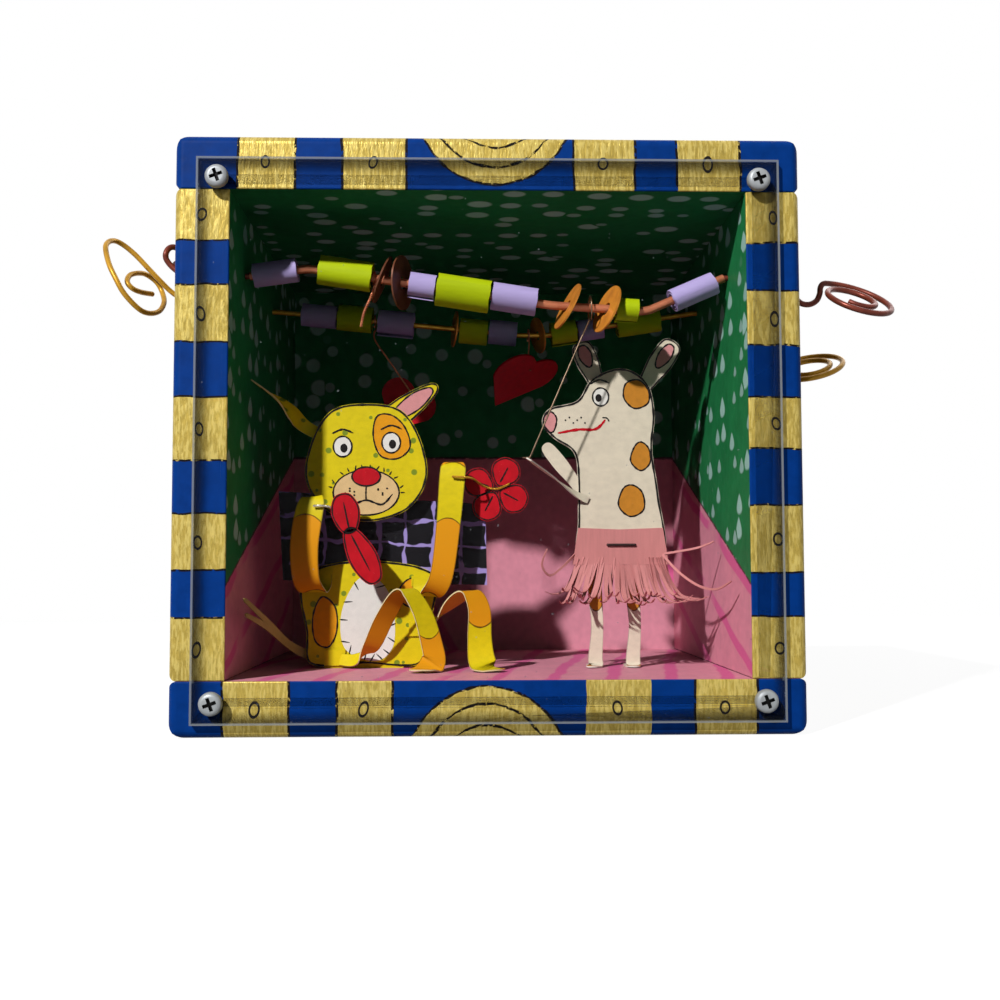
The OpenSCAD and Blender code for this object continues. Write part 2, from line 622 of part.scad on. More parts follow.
// Reach of the loose ends, measured from the left and right walls
ear_tip_gap = 5;
tail_tip_gap = 4.6;
fringe_tip_gap = 4;
module seated_ears() {
    tip = ear_tip_gap - inner_w / 2 - seated_x;
    color(yellow) {
        standing_sheet(seated_outline(leaf([3, 89], [27, 107], [3, 5, 4.6, 2])), head_y + sheet_t);
        seated_block([-16, -head_lift, 84], [8, sheet_t, 5]);
        strip(placed_strip([
            [-12, 0.4 - head_lift, 86.5, 0.5, 0, 0.87, 4.5], [-22, 0.4 - head_lift, 91.5, 0.5, 0.2, 0.8, 5],
            [-26.5, -12, 96, 0.3, 0.9, 0.2, 7], [-31.5, -26, 100.5, 0, 1, 0, 6],
            [tip, -37, 104.5, 0, 1, 0, 2]], seated_at));
    }
}
module check_panel() {
    color("#18161c") standing_sheet(seated_outline([[-33, 67.4], [-31, 33.4], [46.9, 31.3], [46.2, 62.3]]),
        seated_y + sheet_t);
}
module seated_left_arm() {
    color(yellow) {
        seated_block([-20, -2 * sheet_t, 33], [8, sheet_t, 4]);
        strip(placed_strip([
            [-16.4, -1.4, 36, 1, 0, 0, 8], [-16.8, -2, 32, 1, 0, 0, 9], [-18.6, -6, 29.4, 1, 0, 0, 10],
            [-20.8, -11, 34, 1, 0, 0, 10], [-21.2, -13.5, 46, 1, 0, 0.1, 10.4],
            [-19.6, -13.5, 58, 1, 0, 0.1, 10.4],
            [-18, -12, 63.8, 1, 0, 0.2, 9], [-17.6, -9.6, 64.4, 1, 0, 0.2, 6]], seated_at));
    }
}
module seated_right_arm() {
    color(yellow) {
        seated_block([18, -2 * sheet_t, 31], [7, sheet_t, 4]);
        strip(placed_strip([
            [22, -1.4, 34, 1, 0, 0, 7], [22.6, -2, 30, 1, 0, 0, 8], [25.4, -6, 28, 1, 0, 0, 8.5],
            [29.6, -10.4, 35, 1, 0, 0, 8.5], [32.2, -12, 54, 1, 0, 0, 9], [33.6, -11.4, 71, 1, 0, 0, 9.6],
            [34.2, -9.4, 77, 1, 0, 0, 9], [34.2, -6.8, 77.4, 1, 0, 0, 6]], seated_at));
    }
}
module seated_left_leg() {
    color(yellow) {
        seated_block([-15, -2 * sheet_t, 1], [8, sheet_t, 6]);
        strip(placed_strip([
            [-9, -1.4, 3.4, 0, 0.2, 1, 4.4], [-3, -4.5, 3.4, 0.2, 0.5, 1, 5], [3, -8.5, 8, 0.9, 0.5, 0, 7],
            [9, -12, 20, 0.9, 0.5, 0, 8], [16, -14.5, 29.6, 0.7, 0.7, 0, 8.4],
            [22.5, -16.5, 22, 0.8, 0.6, 0, 8.4],
            [26.5, -18, 9, 0.9, 0.4, 0, 8.4], [27, -20, 3.8, 0.9, 0.4, 0, 9],
            [23.5, -23, 1.7, 0.8, -0.5, 0, 10],
            [18.5, -25.5, 1.2, 0.5, -0.8, 0, 5]], seated_at));
    }
}
module seated_right_leg() {
    color(yellow) {
        seated_block([17, -2 * sheet_t, 12], [7, sheet_t, 6]);
        strip(placed_strip([
            [22, -1.9, 15, 0.3, 0, 1, 4.6], [27, -5.2, 17.6, 0.5, 0.5, 0.8, 6], [34, -10, 25, 0.8, 0.6, 0, 8],
            [40, -14.4, 29, 0.8, 0.6, 0, 8.6], [43.6, -16.4, 23, 0.9, 0.4, 0, 8.8],
            [43.8, -17.4, 12, 1, 0.2, 0, 9],
            [44.6, -18.6, 4, 1, 0.1, 0, 10], [47, -20.4, 1.2, 0.7, 0.7, 0, 10.6],
            [53, -22, 1, 0.3, 0.9, 0, 6]],
            seated_at));
    }
}
module seated_tail() {
    tip = tail_tip_gap - inner_w / 2 - seated_x;
    color(yellow) {
        seated_block([-19, 0, 2], [6, sheet_t, 5]);
        for (prong = [[0, 27.5, -45], [1, 22, -42]]) strip(placed_strip([
            [-16, 0.4, 4.2, 0.2, 0, 1, 4], [-23.5, 0.4, 6.2, 0.2, 0, 1, 4],
            [-28.5, -7, 10.4, 0.3, 0.5, 0.8, 3.6],
            [-32.5, -25, 18.6 - 2 * prong[0], 0.3, 0.7, 0.6, 3],
            [tip, prong[2], prong[1], 0.3, 0.7, 0.6, 1.6]],
            seated_at));
    }
}
// Red bow and flower on their twisted wires
// Room between a hand's wire and the red sheet that it holds
wire_lift = 0.15;
bow_at = seated_at + [-3, -16, 53];
flower_at = seated_at + [50.5, -1.2, 68];
petal_angles = [160, 62, -28, -118];
function flat_xz(p) = [p[0], p[2]];
module red_bow() {
    mid = flat_xz(bow_at);
    color(red) for (lobe = [[[-1, -2], [-4, 12]], [[-1.5, -1], [8.5, -20]]])
        standing_sheet(leaf(mid + lobe[0], mid + lobe[1], [2.2, 4.8, 5.2, 2.6]), bow_at[1]);
}
module red_flower() {
    color(red) for (a = petal_angles) standing_sheet(
        leaf(flat_xz(flower_at) + 1.6 * [cos(a), sin(a)], flat_xz(flower_at) + 12.6 * [cos(a), sin(a)],
            [1.4, 5, 5.6, 2.6]), flower_at[1]);
}
module hand_wires() {
    behind = wire_r + wire_lift;
    before = -sheet_t - behind;
    color(brass) {
        wire(smooth_path([seated_at + [-17.8, -14.8, 61], seated_at + [-12, -15, 60.6],
            bow_at + [-3.4, behind, 4],
            bow_at + [-1.4, behind, -3], bow_at + [1, behind, -6]]), wire_d);
        wire(smooth_path([seated_at + [33.6, -12.8, 72], seated_at + [40.8, -12.2, 71.4],
            flower_at + [-5, 2 * before, 1], flower_at + [0, before, 0], flower_at + [5, before, 2]]),
                wire_d);
    }
}

// Standing dog: points are measured from the middle of its body on the floor
standing_at = [standing_x, standing_y, floor_z];
function standing_outline(p) = shifted(p, [standing_x, floor_z]);
module standing_block(corner, size) translate(standing_at + corner) cube(size);
stitch_z = 46.5;
stitch_half = 5.2;
module standing_body() {
    color(cream) difference() {
        standing_sheet(standing_outline(smooth_loop([[-15, 42], [-15.4, 56], [-15.4, 72], [-17, 82],
            [-24.5, 87.4],
            [-29, 93.4], [-26, 99], [-15.5, 102], [-9.5, 110.5], [2, 114.6], [11.5, 109], [14.4, 97],
            [13.4, 83],
            [15.6, 66], [17.6, 42], [1, 41]])), standing_y);
        skirt_stitch();
    }
}
module standing_ears() {
    color(cream) {
        standing_sheet(standing_outline(leaf([-6, 105], [-14, 124], [2.4, 3.4, 4.4, 3.2])),
            standing_y + sheet_t);
        standing_sheet(standing_outline(leaf([8, 104], [22, 124.5], [2.4, 3.6, 4.8, 3.4])),
            standing_y + sheet_t);
    }
}
skirt_low = 39;
skirt_half = 17.6;
fringe_w = 1.7;
fringe_out = 9;
fringe_waver = 0.35;
module fringe_strand(i) {
    s = 2 * i / (fringe_count - 1) - 1;
    x = 0.6 + s * (skirt_half - 1.2);
    out = fringe_out * (1 + fringe_waver * sin(i * 137));
    strip(placed_strip([
        [x, -1.5 * sheet_t, skirt_low + 3, 1, 0, 0, fringe_w],
        [x + 1.6 * s, -1.5 * sheet_t - 1, skirt_low - 4, 1, 0, 0, fringe_w],
        [x + 4.2 * s, -1.5 * sheet_t - 0.5 * out, skirt_low - 11, 1, 0, 0, fringe_w],
        [x + 6 * s, -1.5 * sheet_t - out, skirt_low - 12.6 + 2 * sin(i * 71), 1, 0, 0, 0.7 * fringe_w]],
        standing_at));
}
module loose_strand(side, rows) {
    strip(placed_strip(concat(
        [[side * (skirt_half - 1), -1.5 * sheet_t, skirt_low + 4, 0.4, 0, 1, fringe_w]], rows), standing_at));
}
module skirt() {
    right_tip = inner_w / 2 - fringe_tip_gap - standing_x;
    color("#d98a94") {
        difference() {
            standing_sheet(standing_outline([[-15.4, 53], [0, 52.4], [17, 53], [skirt_half + 1.6, skirt_low],
                [-skirt_half, skirt_low]]), standing_y - sheet_t);
            skirt_stitch();
        }
        for (i = [0 : fringe_count - 1]) fringe_strand(i);
        loose_strand(-1, [[-22, -6, 38, 0, 0.4, 1, 1.4], [-27, -11, 35, 0, 0.4, 1, 1.4],
            [-30, -13, 39, 1, 0.4, 0, 1.3], [-28, -13, 45, 1, 0.4, 0, 1]]);
        loose_strand(1, [[22, -7, 36, 0, 0.5, 1, 1.6], [28, -15, 31, 0, 0.5, 1, 1.8],
            [32, -27, 30, 0, 0.5, 1, 1.8], [right_tip, -38, 33, 0, 0.5, 1, 1.2]]);
        loose_strand(1, [[23, -3, 44, 0, 0.3, 1, 1.6], [30, -5, 45.4, 0, 0.3, 1, 1.6],
            [right_tip, -9, 47.6, 0, 0.3, 1, 1.2]]);
    }
}
module skirt_stitch() {
    bar_y = -2 * sheet_t - wire_r;
    color("#3a2a2a") union() {
        translate(standing_at + [1, bar_y, stitch_z]) rotate([0, 90, 0])
            cylinder(h = 2 * stitch_half, d = wire_d, center = true);
        for (s = [-1, 1]) translate(standing_at + [1 + s * stitch_half, 0, stitch_z]) {
            translate([0, bar_y, 0]) sphere(d = wire_d);
            rotate([90, 0, 0]) cylinder(h = -bar_y, d = wire_d);
        }
    }
}
leg_places = [[-9, -1], [5.4, 0]];
leg_w = 5.4;
function standing_tacks() = [for (l = leg_places) [standing_x + l[0], standing_y + sheet_t / 2 + tab_d / 2]];
module standing_legs() {
    color(cream) difference() {
        for (l = leg_places) {
            standing_block([l[0] - leg_w / 2, 0, 46], [leg_w, sheet_t, 12]);
            standing_block([l[0] - leg_w / 2, sheet_t / 2, 0], [leg_w, tab_d, sheet_t]);
            strip(placed_strip([
                [l[0], sheet_t / 2, 48, 1, 0, 0, leg_w], [l[0], sheet_t / 2, 30, 1, 0, 0, leg_w],
                [l[0] + 0.8, sheet_t / 2, 16, 1, 0, 0, leg_w - 0.8], [l[0], sheet_t / 2, 4, 1, 0, 0, leg_w],
                [l[0], -0.6, 0.9, 1, 0, 0, leg_w], [l[0] + 3 * l[1], -4.5, 0.6, 1, 0.5 * l[1], 0, leg_w - 1]],
                standing_at));
            standing_block([l[0] - leg_w / 2, 0, 0], [leg_w, sheet_t, 4]);
        }
        floor_tacks();
    }
}
module standing_right_arm() {
    color(cream) standing_sheet(standing_outline(leaf([-12, 65], [-27.5, 84.5], [2, 2.2, 2.8, 2])),
        standing_y + sheet_t);
}
lug_at = standing_at + [-36, -19, 78.2];
lug_d = 4.4;
module standing_left_arm() {
    lug = lug_at - standing_at;
    color(cream) difference() {
        union() {
            standing_block([-14, -2 * sheet_t, 61], [5, sheet_t, 5]);
            strip(placed_strip([
                [-11.5, -1.4, 63.5, 0.5, 0, 0.87, 3.6], [-17.5, -3.6, 66.4, 0.2, 0.8, 0.4, 3.8],
                [-26, -10.4, 72, 0, 1, 0, 3.6],
                [lug[0] + 0.2, lug[1] + 0.6, lug[2] - 0.3, 0, 1, 0, 2.6]], standing_at));
            translate(lug_at) rotate([0, 90, 0]) cylinder(h = sheet_t, d = lug_d, center = true);
        }
        translate(lug_at) rotate([0, 90, 0]) cylinder(h = 8 * sheet_t, d = wire_d + rod_play, center = true);
    }
}
pin_half = 1.4;
module pull_wire() {
    top = [pull_x, copper_y, lookup(pull_x, copper_line)];
    eye_d = copper_mid_d + pull_play;
    pin_end = lug_at + [pin_half, 0, 0];
    color("#8d8a86") union() {
        translate(lug_at) rotate([0, 90, 0]) cylinder(h = 2 * pin_half, d = wire_d, center = true);
        wire_bend(pin_end);
        rod_between(pin_end, under_ring(top, eye_d), wire_d);
        translate(top) wire_ring(eye_d);
    }
}

// Tacks that hold both figures to the floor
floor_tack_len = 7;
module floor_tacks() {
    color("silver") for (p = concat(seated_tacks(), standing_tacks()))
        translate([p[0], p[1], floor_z + sheet_t]) tack(floor_tack_len);
}

top_board();
bottom_board();
left_board();
right_board();
back_panel();
brads();
sawtooth_hanger();
hanger_nails();
cover_plate();
cover_screws();
copper_rod();
copper_pigtail();
for (k = [1 : len(numbers(copper_items, false))])
    garland_bead(copper_items, copper_gaps, copper_line, copper_y, copper_mid_d,
            numbers(copper_items, false)[k - 1]);
for (k = [1 : len(numbers(copper_items, true))])
    garland_disc(copper_items, copper_gaps, copper_line, copper_y, copper_mid_d,
            numbers(copper_items, true)[k - 1]);
brass_rod();
for (k = [1 : len(numbers(brass_items, false))])
    garland_bead(brass_items, brass_gaps, brass_line, brass_y, brass_d,
            numbers(brass_items, false)[k - 1]);
for (k = [1 : len(numbers(brass_items, true))])
    garland_disc(brass_items, brass_gaps, brass_line, brass_y, brass_d,
            numbers(brass_items, true)[k - 1]);
left_heart();
left_heart_wire();
right_heart();
right_heart_wire();
seated_body();
seated_head();
seated_neck_tab();
seated_ears();
check_panel();
seated_left_arm();
seated_right_arm();
seated_left_leg();
seated_right_leg();
seated_tail();
red_bow();
red_flower();
hand_wires();
standing_body();
standing_ears();
skirt();
skirt_stitch();
standing_legs();
standing_right_arm();
standing_left_arm();
pull_wire();
floor_tacks();
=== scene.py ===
"""Looks of a painted wooden shadow box with a clear front, two wire garlands and two dogs of cut sheet.

Lengths are millimetres, and become metres where a mesh is made.
"""

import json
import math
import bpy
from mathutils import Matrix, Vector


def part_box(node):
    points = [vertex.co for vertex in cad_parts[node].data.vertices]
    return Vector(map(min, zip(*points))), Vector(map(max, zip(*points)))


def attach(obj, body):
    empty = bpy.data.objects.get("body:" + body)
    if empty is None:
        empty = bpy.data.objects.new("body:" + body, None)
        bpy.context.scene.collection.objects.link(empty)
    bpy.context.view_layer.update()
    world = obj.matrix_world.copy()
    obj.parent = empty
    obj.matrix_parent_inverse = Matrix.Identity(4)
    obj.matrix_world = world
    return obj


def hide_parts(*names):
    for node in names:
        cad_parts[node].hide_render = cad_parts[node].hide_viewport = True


bl_info = {
    "name": "Shadow Box",
    "version": (1, 0, 0),
    "blender": (4, 5, 0),
    "location": "View3D > Sidebar > Shadow Box",
    "description": "Paints and dresses a wooden shadow box, its garlands and its two dogs",
    "category": "Object",
}

import bpy
from bpy.props import FloatProperty, FloatVectorProperty, IntProperty, PointerProperty
from mathutils import Euler, Matrix, Vector

MM = 0.001
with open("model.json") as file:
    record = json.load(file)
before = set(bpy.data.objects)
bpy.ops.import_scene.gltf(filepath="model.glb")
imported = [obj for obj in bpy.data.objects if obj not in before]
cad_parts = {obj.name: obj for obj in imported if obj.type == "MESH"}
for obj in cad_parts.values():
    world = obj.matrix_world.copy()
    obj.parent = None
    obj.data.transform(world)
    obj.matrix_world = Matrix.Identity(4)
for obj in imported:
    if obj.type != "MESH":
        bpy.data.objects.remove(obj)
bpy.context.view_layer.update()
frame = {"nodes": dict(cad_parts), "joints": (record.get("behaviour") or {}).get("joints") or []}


def span(node):
    """Lowest and highest corner of a CAD node, in millimetres."""
    low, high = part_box(node)
    return low / MM, high / MM


def colour(red, green, blue):
    """Linear colour of an sRGB triple from 0 to 255."""
    shares = (c / 255 for c in (red, green, blue))
    return tuple(c / 12.92 if c < 0.04045 else ((c + 0.055) / 1.055) ** 2.4 for c in shares)


def tint(name, description, *shade):
    """A colour that the panel offers, from its sRGB triple."""
    return FloatVectorProperty(name=name, description=description, subtype="COLOR", default=colour(*shade))


# Places taken from the frame
FRONT = span("top_board")[0].y
BOX_SIDE = span("top_board")[1].x
BOX_TOP = span("top_board")[1].z
FLOOR, CEILING = (corner.z for corner in span("left_board"))
WALL = span("right_board")[0].x
PANEL_FRONT = span("back_panel")[0].y
COVER_LOW, COVER_HIGH = span("cover_plate")
JOINT = {joint["name"]: Vector(joint["pos_m"]) / MM for joint in frame["joints"]}

# Rise of each layer of paint, thickness of its film, and width of a pen line
PAINT = 0.04
FILM = 0.05
INK_W = 0.6

# Sizes that fit the frame's solids
SHEET = 0.8
STRIP = 0.5
COPPER_D = 2.13
COPPER_MID_D = 3.1
BRASS_D = 2.13
WIRE_D = 1.0
RING_STOCK = 1.2
HEART_RING = 3.4
HEART_KNEE = 8.0
PIN_REACH = 1.5
PULL_EYE = 7.6
PULL_X = 37.75
PIGTAIL_X = -41.79
JOURNAL_OUT = 1.5
SCREW_INSET = 7.2
SCREW_RECESS = 4.6
SEATED = Vector((42 - WALL, span("seated_body")[0].y + SHEET, FLOOR))
STANDING = Vector((WALL - 39, span("standing_body")[1].y, FLOOR))
HEAD_Y = SEATED.y - 5


class ShadowBoxColours(bpy.types.PropertyGroup):
    """Paint colours of the wooden box."""

    blue: tint("Blue", "Ground of the outer paint", 2, 56, 134)
    gold: tint("Gold", "Stripes of the outer paint", 192, 166, 80)
    ink: tint("Ink", "Drawn outlines", 22, 18, 18)
    green: tint("Green", "Upper walls and ceiling", 36, 124, 72)
    dab: tint("Dabs", "Dabs on the green", 170, 212, 202)
    pink: tint("Pink", "Floor and lower walls", 230, 150, 168)
    stroke: tint("Strokes", "Slanting strokes on the pink", 226, 96, 156)


class GarlandColours(bpy.types.PropertyGroup):
    """Colours and metals of the garlands."""

    copper: tint("Copper", "Front rod and discs", 206, 126, 90)
    brass: tint("Brass", "Rear rod", 204, 152, 44)
    lavender: tint("Lavender", "Rolled beads", 186, 170, 222)
    lime: tint("Lime", "Rolled beads", 184, 204, 14)
    red: tint("Red", "Hearts, bow and flower", 196, 22, 36)
    turns: FloatProperty(
        name="Turns", description="Turns of paper in a rolled bead", default=2.6, min=1.5, max=4)


class DogColours(bpy.types.PropertyGroup):
    """Colours of the two dogs and their dress."""

    yellow: tint("Yellow", "Coat of the seated dog", 228, 206, 22)
    orange: tint("Orange", "Patches of the seated dog", 238, 160, 24)
    cream: tint("Cream", "Coat of the standing dog", 230, 217, 194)
    tan: tint("Tan", "Patches of the standing dog", 204, 134, 46)
    skirt: tint("Skirt", "Fringed skirt", 212, 138, 136)
    strands: IntProperty(
        name="Strands", description="Strands in the skirt's fringe", default=42, min=12, max=140)


class StageLight(bpy.types.PropertyGroup):
    """Light of the studio."""

    key: FloatProperty(
        name="Key", description="Power of the key light in watts", default=53, min=0, max=200)
    fill: FloatProperty(
        name="Fill", description="Strength of the surrounding light", default=0.03, min=0, max=1)


def settings():
    """The four groups of values, as the scene holds them."""
    scene = bpy.context.scene
    return scene.shadow_box_colours, scene.garland_colours, scene.dog_colours, scene.stage_light


class Tree:
    """Short calls that add linked nodes to a shader or geometry tree."""

    def __init__(self, tree):
        self.tree = tree

    def feed(self, socket, value):
        """Links a socket to another, or sets its own value."""
        if isinstance(value, bpy.types.NodeSocket):
            self.tree.links.new(value, socket)
        elif value is not None:
            socket.default_value = (*value, 1) if socket.type == "RGBA" and len(value) == 3 else value

    def node(self, kind, *inputs, **options):
        """Adds a node and feeds its sockets in their order."""
        made = self.tree.nodes.new(kind)
        for name, value in options.items():
            setattr(made, name, value)
        for socket, value in zip([s for s in made.inputs if s.enabled], inputs):
            self.feed(socket, value)
        return made

    def fed(self, made, **inputs):
        """Feeds a node's sockets by their names."""
        for name, value in inputs.items():
            self.feed(made.inputs[name.replace("_", " ")], value)
        return made

    def math(self, operation, *values):
        return self.node("ShaderNodeMath", *values, operation=operation).outputs[0]

    def plus(self, first, second):
        return self.math("ADD", first, second)

    def minus(self, first, second):
        return self.math("SUBTRACT", first, second)

    def times(self, first, second):
        return self.math("MULTIPLY", first, second)

    def scaled(self, value, factor, shift):
        return self.math("MULTIPLY_ADD", value, factor, shift)

    def most(self, first, second):
        return self.math("MAXIMUM", first, second)

    def rest(self, mask):
        return self.minus(1.0, mask)

    def gap(self, value, at):
        return self.math("ABSOLUTE", self.minus(value, at))

    def vector(self, operation, *values):
        made = self.node("ShaderNodeVectorMath", *values, operation=operation)
        return made.outputs["Value"] if operation in ("LENGTH", "DOT_PRODUCT") else made.outputs[0]

    def split(self, vector):
        return self.node("ShaderNodeSeparateXYZ", vector).outputs[:3]

    def join(self, x=0.0, y=0.0, z=0.0):
        return self.node("ShaderNodeCombineXYZ", x, y, z).outputs[0]

    def mix(self, share, first, second):
        return self.node("ShaderNodeMix", share, first, second, data_type="RGBA").outputs["Result"]

    def noise(self, place, scale, detail=3.0):
        return self.node("ShaderNodeTexNoise", place, scale, detail).outputs[0]

    def step(self, value, at, soft=0.1):
        """Rises from 0 to 1 where the value passes a limit."""
        low, high = (self.math(op, at, soft) for op in ("SUBTRACT", "ADD"))
        return self.node("ShaderNodeMapRange", value, low, high, 0.0, 1.0).outputs[0]

    def below(self, value, at, soft=0.1):
        """Falls from 1 to 0 where the value passes a limit."""
        return self.rest(self.step(value, at, soft))

    def both(self, *masks):
        found = masks[0]
        for mask in masks[1:]:
            found = self.times(found, mask)
        return found

    def bands(self, value, low, high, stops):
        """Steps between 0 and 1 along a length; each stop is a place and the value after it."""
        share = self.node("ShaderNodeMapRange", value, low, high, 0.0, 1.0).outputs[0]
        made = self.node("ShaderNodeValToRGB", share)
        made.color_ramp.interpolation = "CONSTANT"
        steps = made.color_ramp.elements
        while len(steps) < len(stops):
            steps.new(1.0)
        for step, (at, tone) in zip(steps, stops):
            step.position = (at - low) / (high - low)
            step.color = (tone, tone, tone, 1)
        return made.outputs[0]

    def use(self, group, **inputs):
        """Places a shared node group and returns its outputs by name."""
        made = self.fed(self.node("ShaderNodeGroup", node_tree=group), **inputs)
        return {s.name: s for s in made.outputs}


class Paint(Tree):
    """The shader tree of one material, in the box's own millimetres."""

    def __init__(self, name):
        self.material = bpy.data.materials.new(name)
        self.material.use_nodes = True
        super().__init__(self.material.node_tree)
        self.tree.nodes.clear()
        self.coordinates = self.node("ShaderNodeTexCoord")
        self.place = self.vector("SCALE", self.coordinates.outputs["Object"], 1 / MM)

    def brushed(self, shade, stroke, depth):
        """Brushed paint of one colour: its tones and their height."""
        return self.use(SHARED["brushed"], Place=self.place, Colour=shade, Stroke=stroke, Depth=depth)

    def surface(self, height=None, depth=0.02, **sockets):
        """Ends the tree in one Principled BSDF, with a bump of the given depth."""
        shader = self.fed(self.node("ShaderNodeBsdfPrincipled"), **sockets)
        if height is not None:
            bump = self.fed(self.node("ShaderNodeBump"), Height=height, Distance=depth * MM)
            self.fed(shader, Normal=bump.outputs[0])
        self.node("ShaderNodeOutputMaterial", shader.outputs[0])
        return self.material


def shared_group(name, inputs, outputs):
    """A new shader node group, its input sockets by name, and a call that feeds its outputs."""
    kinds = {"vector": "NodeSocketVector", "colour": "NodeSocketColor", "value": "NodeSocketFloat"}
    group = bpy.data.node_groups.new(name, "ShaderNodeTree")
    for label, kind in inputs.items():
        group.interface.new_socket(name=label, in_out="INPUT", socket_type=kinds[kind])
    for label, kind in outputs.items():
        group.interface.new_socket(name=label, in_out="OUTPUT", socket_type=kinds[kind])
    tree = Tree(group)
    entry = tree.node("NodeGroupInput")
    leave = tree.node("NodeGroupOutput")

    def close(**results):
        for label, socket in results.items():
            tree.feed(leave.inputs[label], socket)
        return group

    return tree, {s.name: s for s in entry.outputs if s.name}, close


def brushed_group():
    """Paint laid on with a brush: streaks, thin places and their height."""
    t, given, close = shared_group(
        "Brushed paint", {"Place": "vector", "Colour": "colour", "Stroke": "vector", "Depth": "value"},
        {"Colour": "colour", "Height": "value"})
    streak = t.noise(t.vector("MULTIPLY", given["Place"], given["Stroke"]), 1.0, 4.0)
    blotch = t.noise(given["Place"], 0.055, 2.0)
    both = t.plus(streak, t.times(blotch, 0.7))
    tone = t.scaled(t.minus(both, 0.85), given["Depth"], 1.0)
    return close(Colour=t.vector("SCALE", given["Colour"], tone), Height=streak)


def ink_group():
    """A drawn line of uneven width: 1 on the line and 0 beside it."""
    t, given, close = shared_group(
        "Ink line", {"Place": "vector", "Distance": "value", "Width": "value"}, {"Mask": "value"})
    swell = t.scaled(t.noise(given["Place"], 0.3, 2.0), 1.1, -0.05)
    half = t.times(given["Width"], swell)
    line = t.below(t.math("ABSOLUTE", given["Distance"]), half, 0.1)
    return close(Mask=t.both(line, t.step(t.noise(given["Place"], 0.45, 2.0), 0.36, 0.03)))


def dab_group():
    """Loose dabs of a brush, round or drawn out to a point: 1 on a dab, with a tone for each."""
    t, given, close = shared_group(
        "Dabs", {"Flat": "vector", "Cell": "value", "Size": "value", "Point": "value"},
        {"Mask": "value", "Tone": "value"})
    cells = t.vector("DIVIDE", given["Flat"], t.join(given["Cell"], given["Cell"], 1.0))
    spots = t.fed(t.node("ShaderNodeTexVoronoi", cells, 1.0, voronoi_dimensions="2D"), Randomness=0.85)
    chance, gap, _ = t.split(spots.outputs["Color"])
    radius = t.times(given["Size"], t.scaled(chance, 0.55, 0.45))
    side, rise, _ = t.split(t.vector("SUBTRACT", cells, spots.outputs["Position"]))
    high = t.math("DIVIDE", rise, radius)
    waist = t.rest(t.times(given["Point"], high))
    wide = t.math("DIVIDE", t.math("DIVIDE", side, radius), t.most(waist, 0.05))
    reach = t.vector("LENGTH", t.join(wide, high))
    return close(Mask=t.both(t.below(reach, 0.95, 0.12), t.step(gap, 0.22, 0.01)),
                 Tone=t.scaled(chance, 0.35, 0.75))


def room_group(brushed, dabs, ink):
    """Green with dabs above a drawn line, and pink with slanting strokes below it."""
    inputs = dict.fromkeys(("Place", "Flat", "Slant"), "vector")
    inputs.update(dict.fromkeys(("Above", "Corner", "Point", "Cell", "Space"), "value"))
    inputs.update(dict.fromkeys(("Green", "Dab", "Pink", "Stroke", "Ink"), "colour"))
    t, given, close = shared_group("Room paint", inputs, {"Colour": "colour", "Height": "value"})
    green = t.use(brushed, Place=given["Place"], Colour=given["Green"], Stroke=(0.22, 0.3, 0.2), Depth=0.5)
    spots = t.use(dabs, Flat=given["Flat"], Cell=given["Cell"], Size=0.33, Point=given["Point"])
    spotted = t.mix(t.times(spots["Mask"], 0.9), green["Colour"],
                    t.vector("SCALE", given["Dab"], spots["Tone"]))
    pink = t.use(brushed, Place=given["Place"], Colour=given["Pink"], Stroke=(0.35, 0.2, 0.3), Depth=0.3)
    wave = t.times(t.noise(given["Place"], 0.03, 1.0), 9.0)
    slant = t.plus(t.vector("DOT_PRODUCT", given["Flat"], given["Slant"]), wave)
    near = t.math("PINGPONG", slant, given["Space"])
    streak = t.both(t.below(near, 2.3, 0.5), t.step(t.noise(given["Place"], 0.03, 1.0), 0.36, 0.05))
    striped = t.mix(t.times(streak, 0.85), pink["Colour"], given["Stroke"])
    painted = t.mix(t.step(given["Above"], 0.0, 0.2), striped, spotted)
    edge = t.use(ink, Place=given["Place"], Distance=given["Above"], Width=1.0)["Mask"]
    fold = t.use(ink, Place=given["Place"], Distance=given["Corner"], Width=0.8)["Mask"]
    lined = t.mix(t.times(t.most(edge, fold), 0.8), painted, given["Ink"])
    return close(Colour=lined, Height=green["Height"])


def pine_group():
    """Bare softwood with its grain along the stretched direction."""
    t, given, close = shared_group(
        "Bare pine", {"Place": "vector", "Grain": "vector"}, {"Colour": "colour", "Height": "value"})
    along = t.vector("MULTIPLY", given["Place"], given["Grain"])
    rings = t.noise(along, 0.5, 2.0)
    lines = t.math("PINGPONG", t.times(rings, 9.0), 1.0)
    fibre = t.noise(along, 6.0, 2.0)
    wood = t.mix(lines, colour(222, 190, 142), colour(188, 142, 92))
    return close(Colour=t.vector("SCALE", wood, t.scaled(fibre, 0.3, 0.82)), Height=fibre)


def metal_group():
    """Handled metal: darker tarnish in patches, fine scratches, and the roughness that goes with them."""
    t, given, close = shared_group(
        "Handled metal", {"Place": "vector", "Colour": "colour", "Tarnish": "colour", "Amount": "value"},
        {"Colour": "colour", "Roughness": "value", "Height": "value"})
    patch = t.step(t.noise(given["Place"], 0.16, 4.0), 0.52, 0.14)
    scratch = t.noise(t.vector("MULTIPLY", given["Place"], (0.3, 3.0, 3.0)), 1.0, 3.0)
    dulled = t.mix(t.times(patch, given["Amount"]), given["Colour"], given["Tarnish"])
    rough = t.scaled(patch, 0.16, t.scaled(scratch, 0.18, 0.2))
    return close(Colour=dulled, Roughness=rough, Height=scratch)


SHARED = {}
MATERIALS = {}


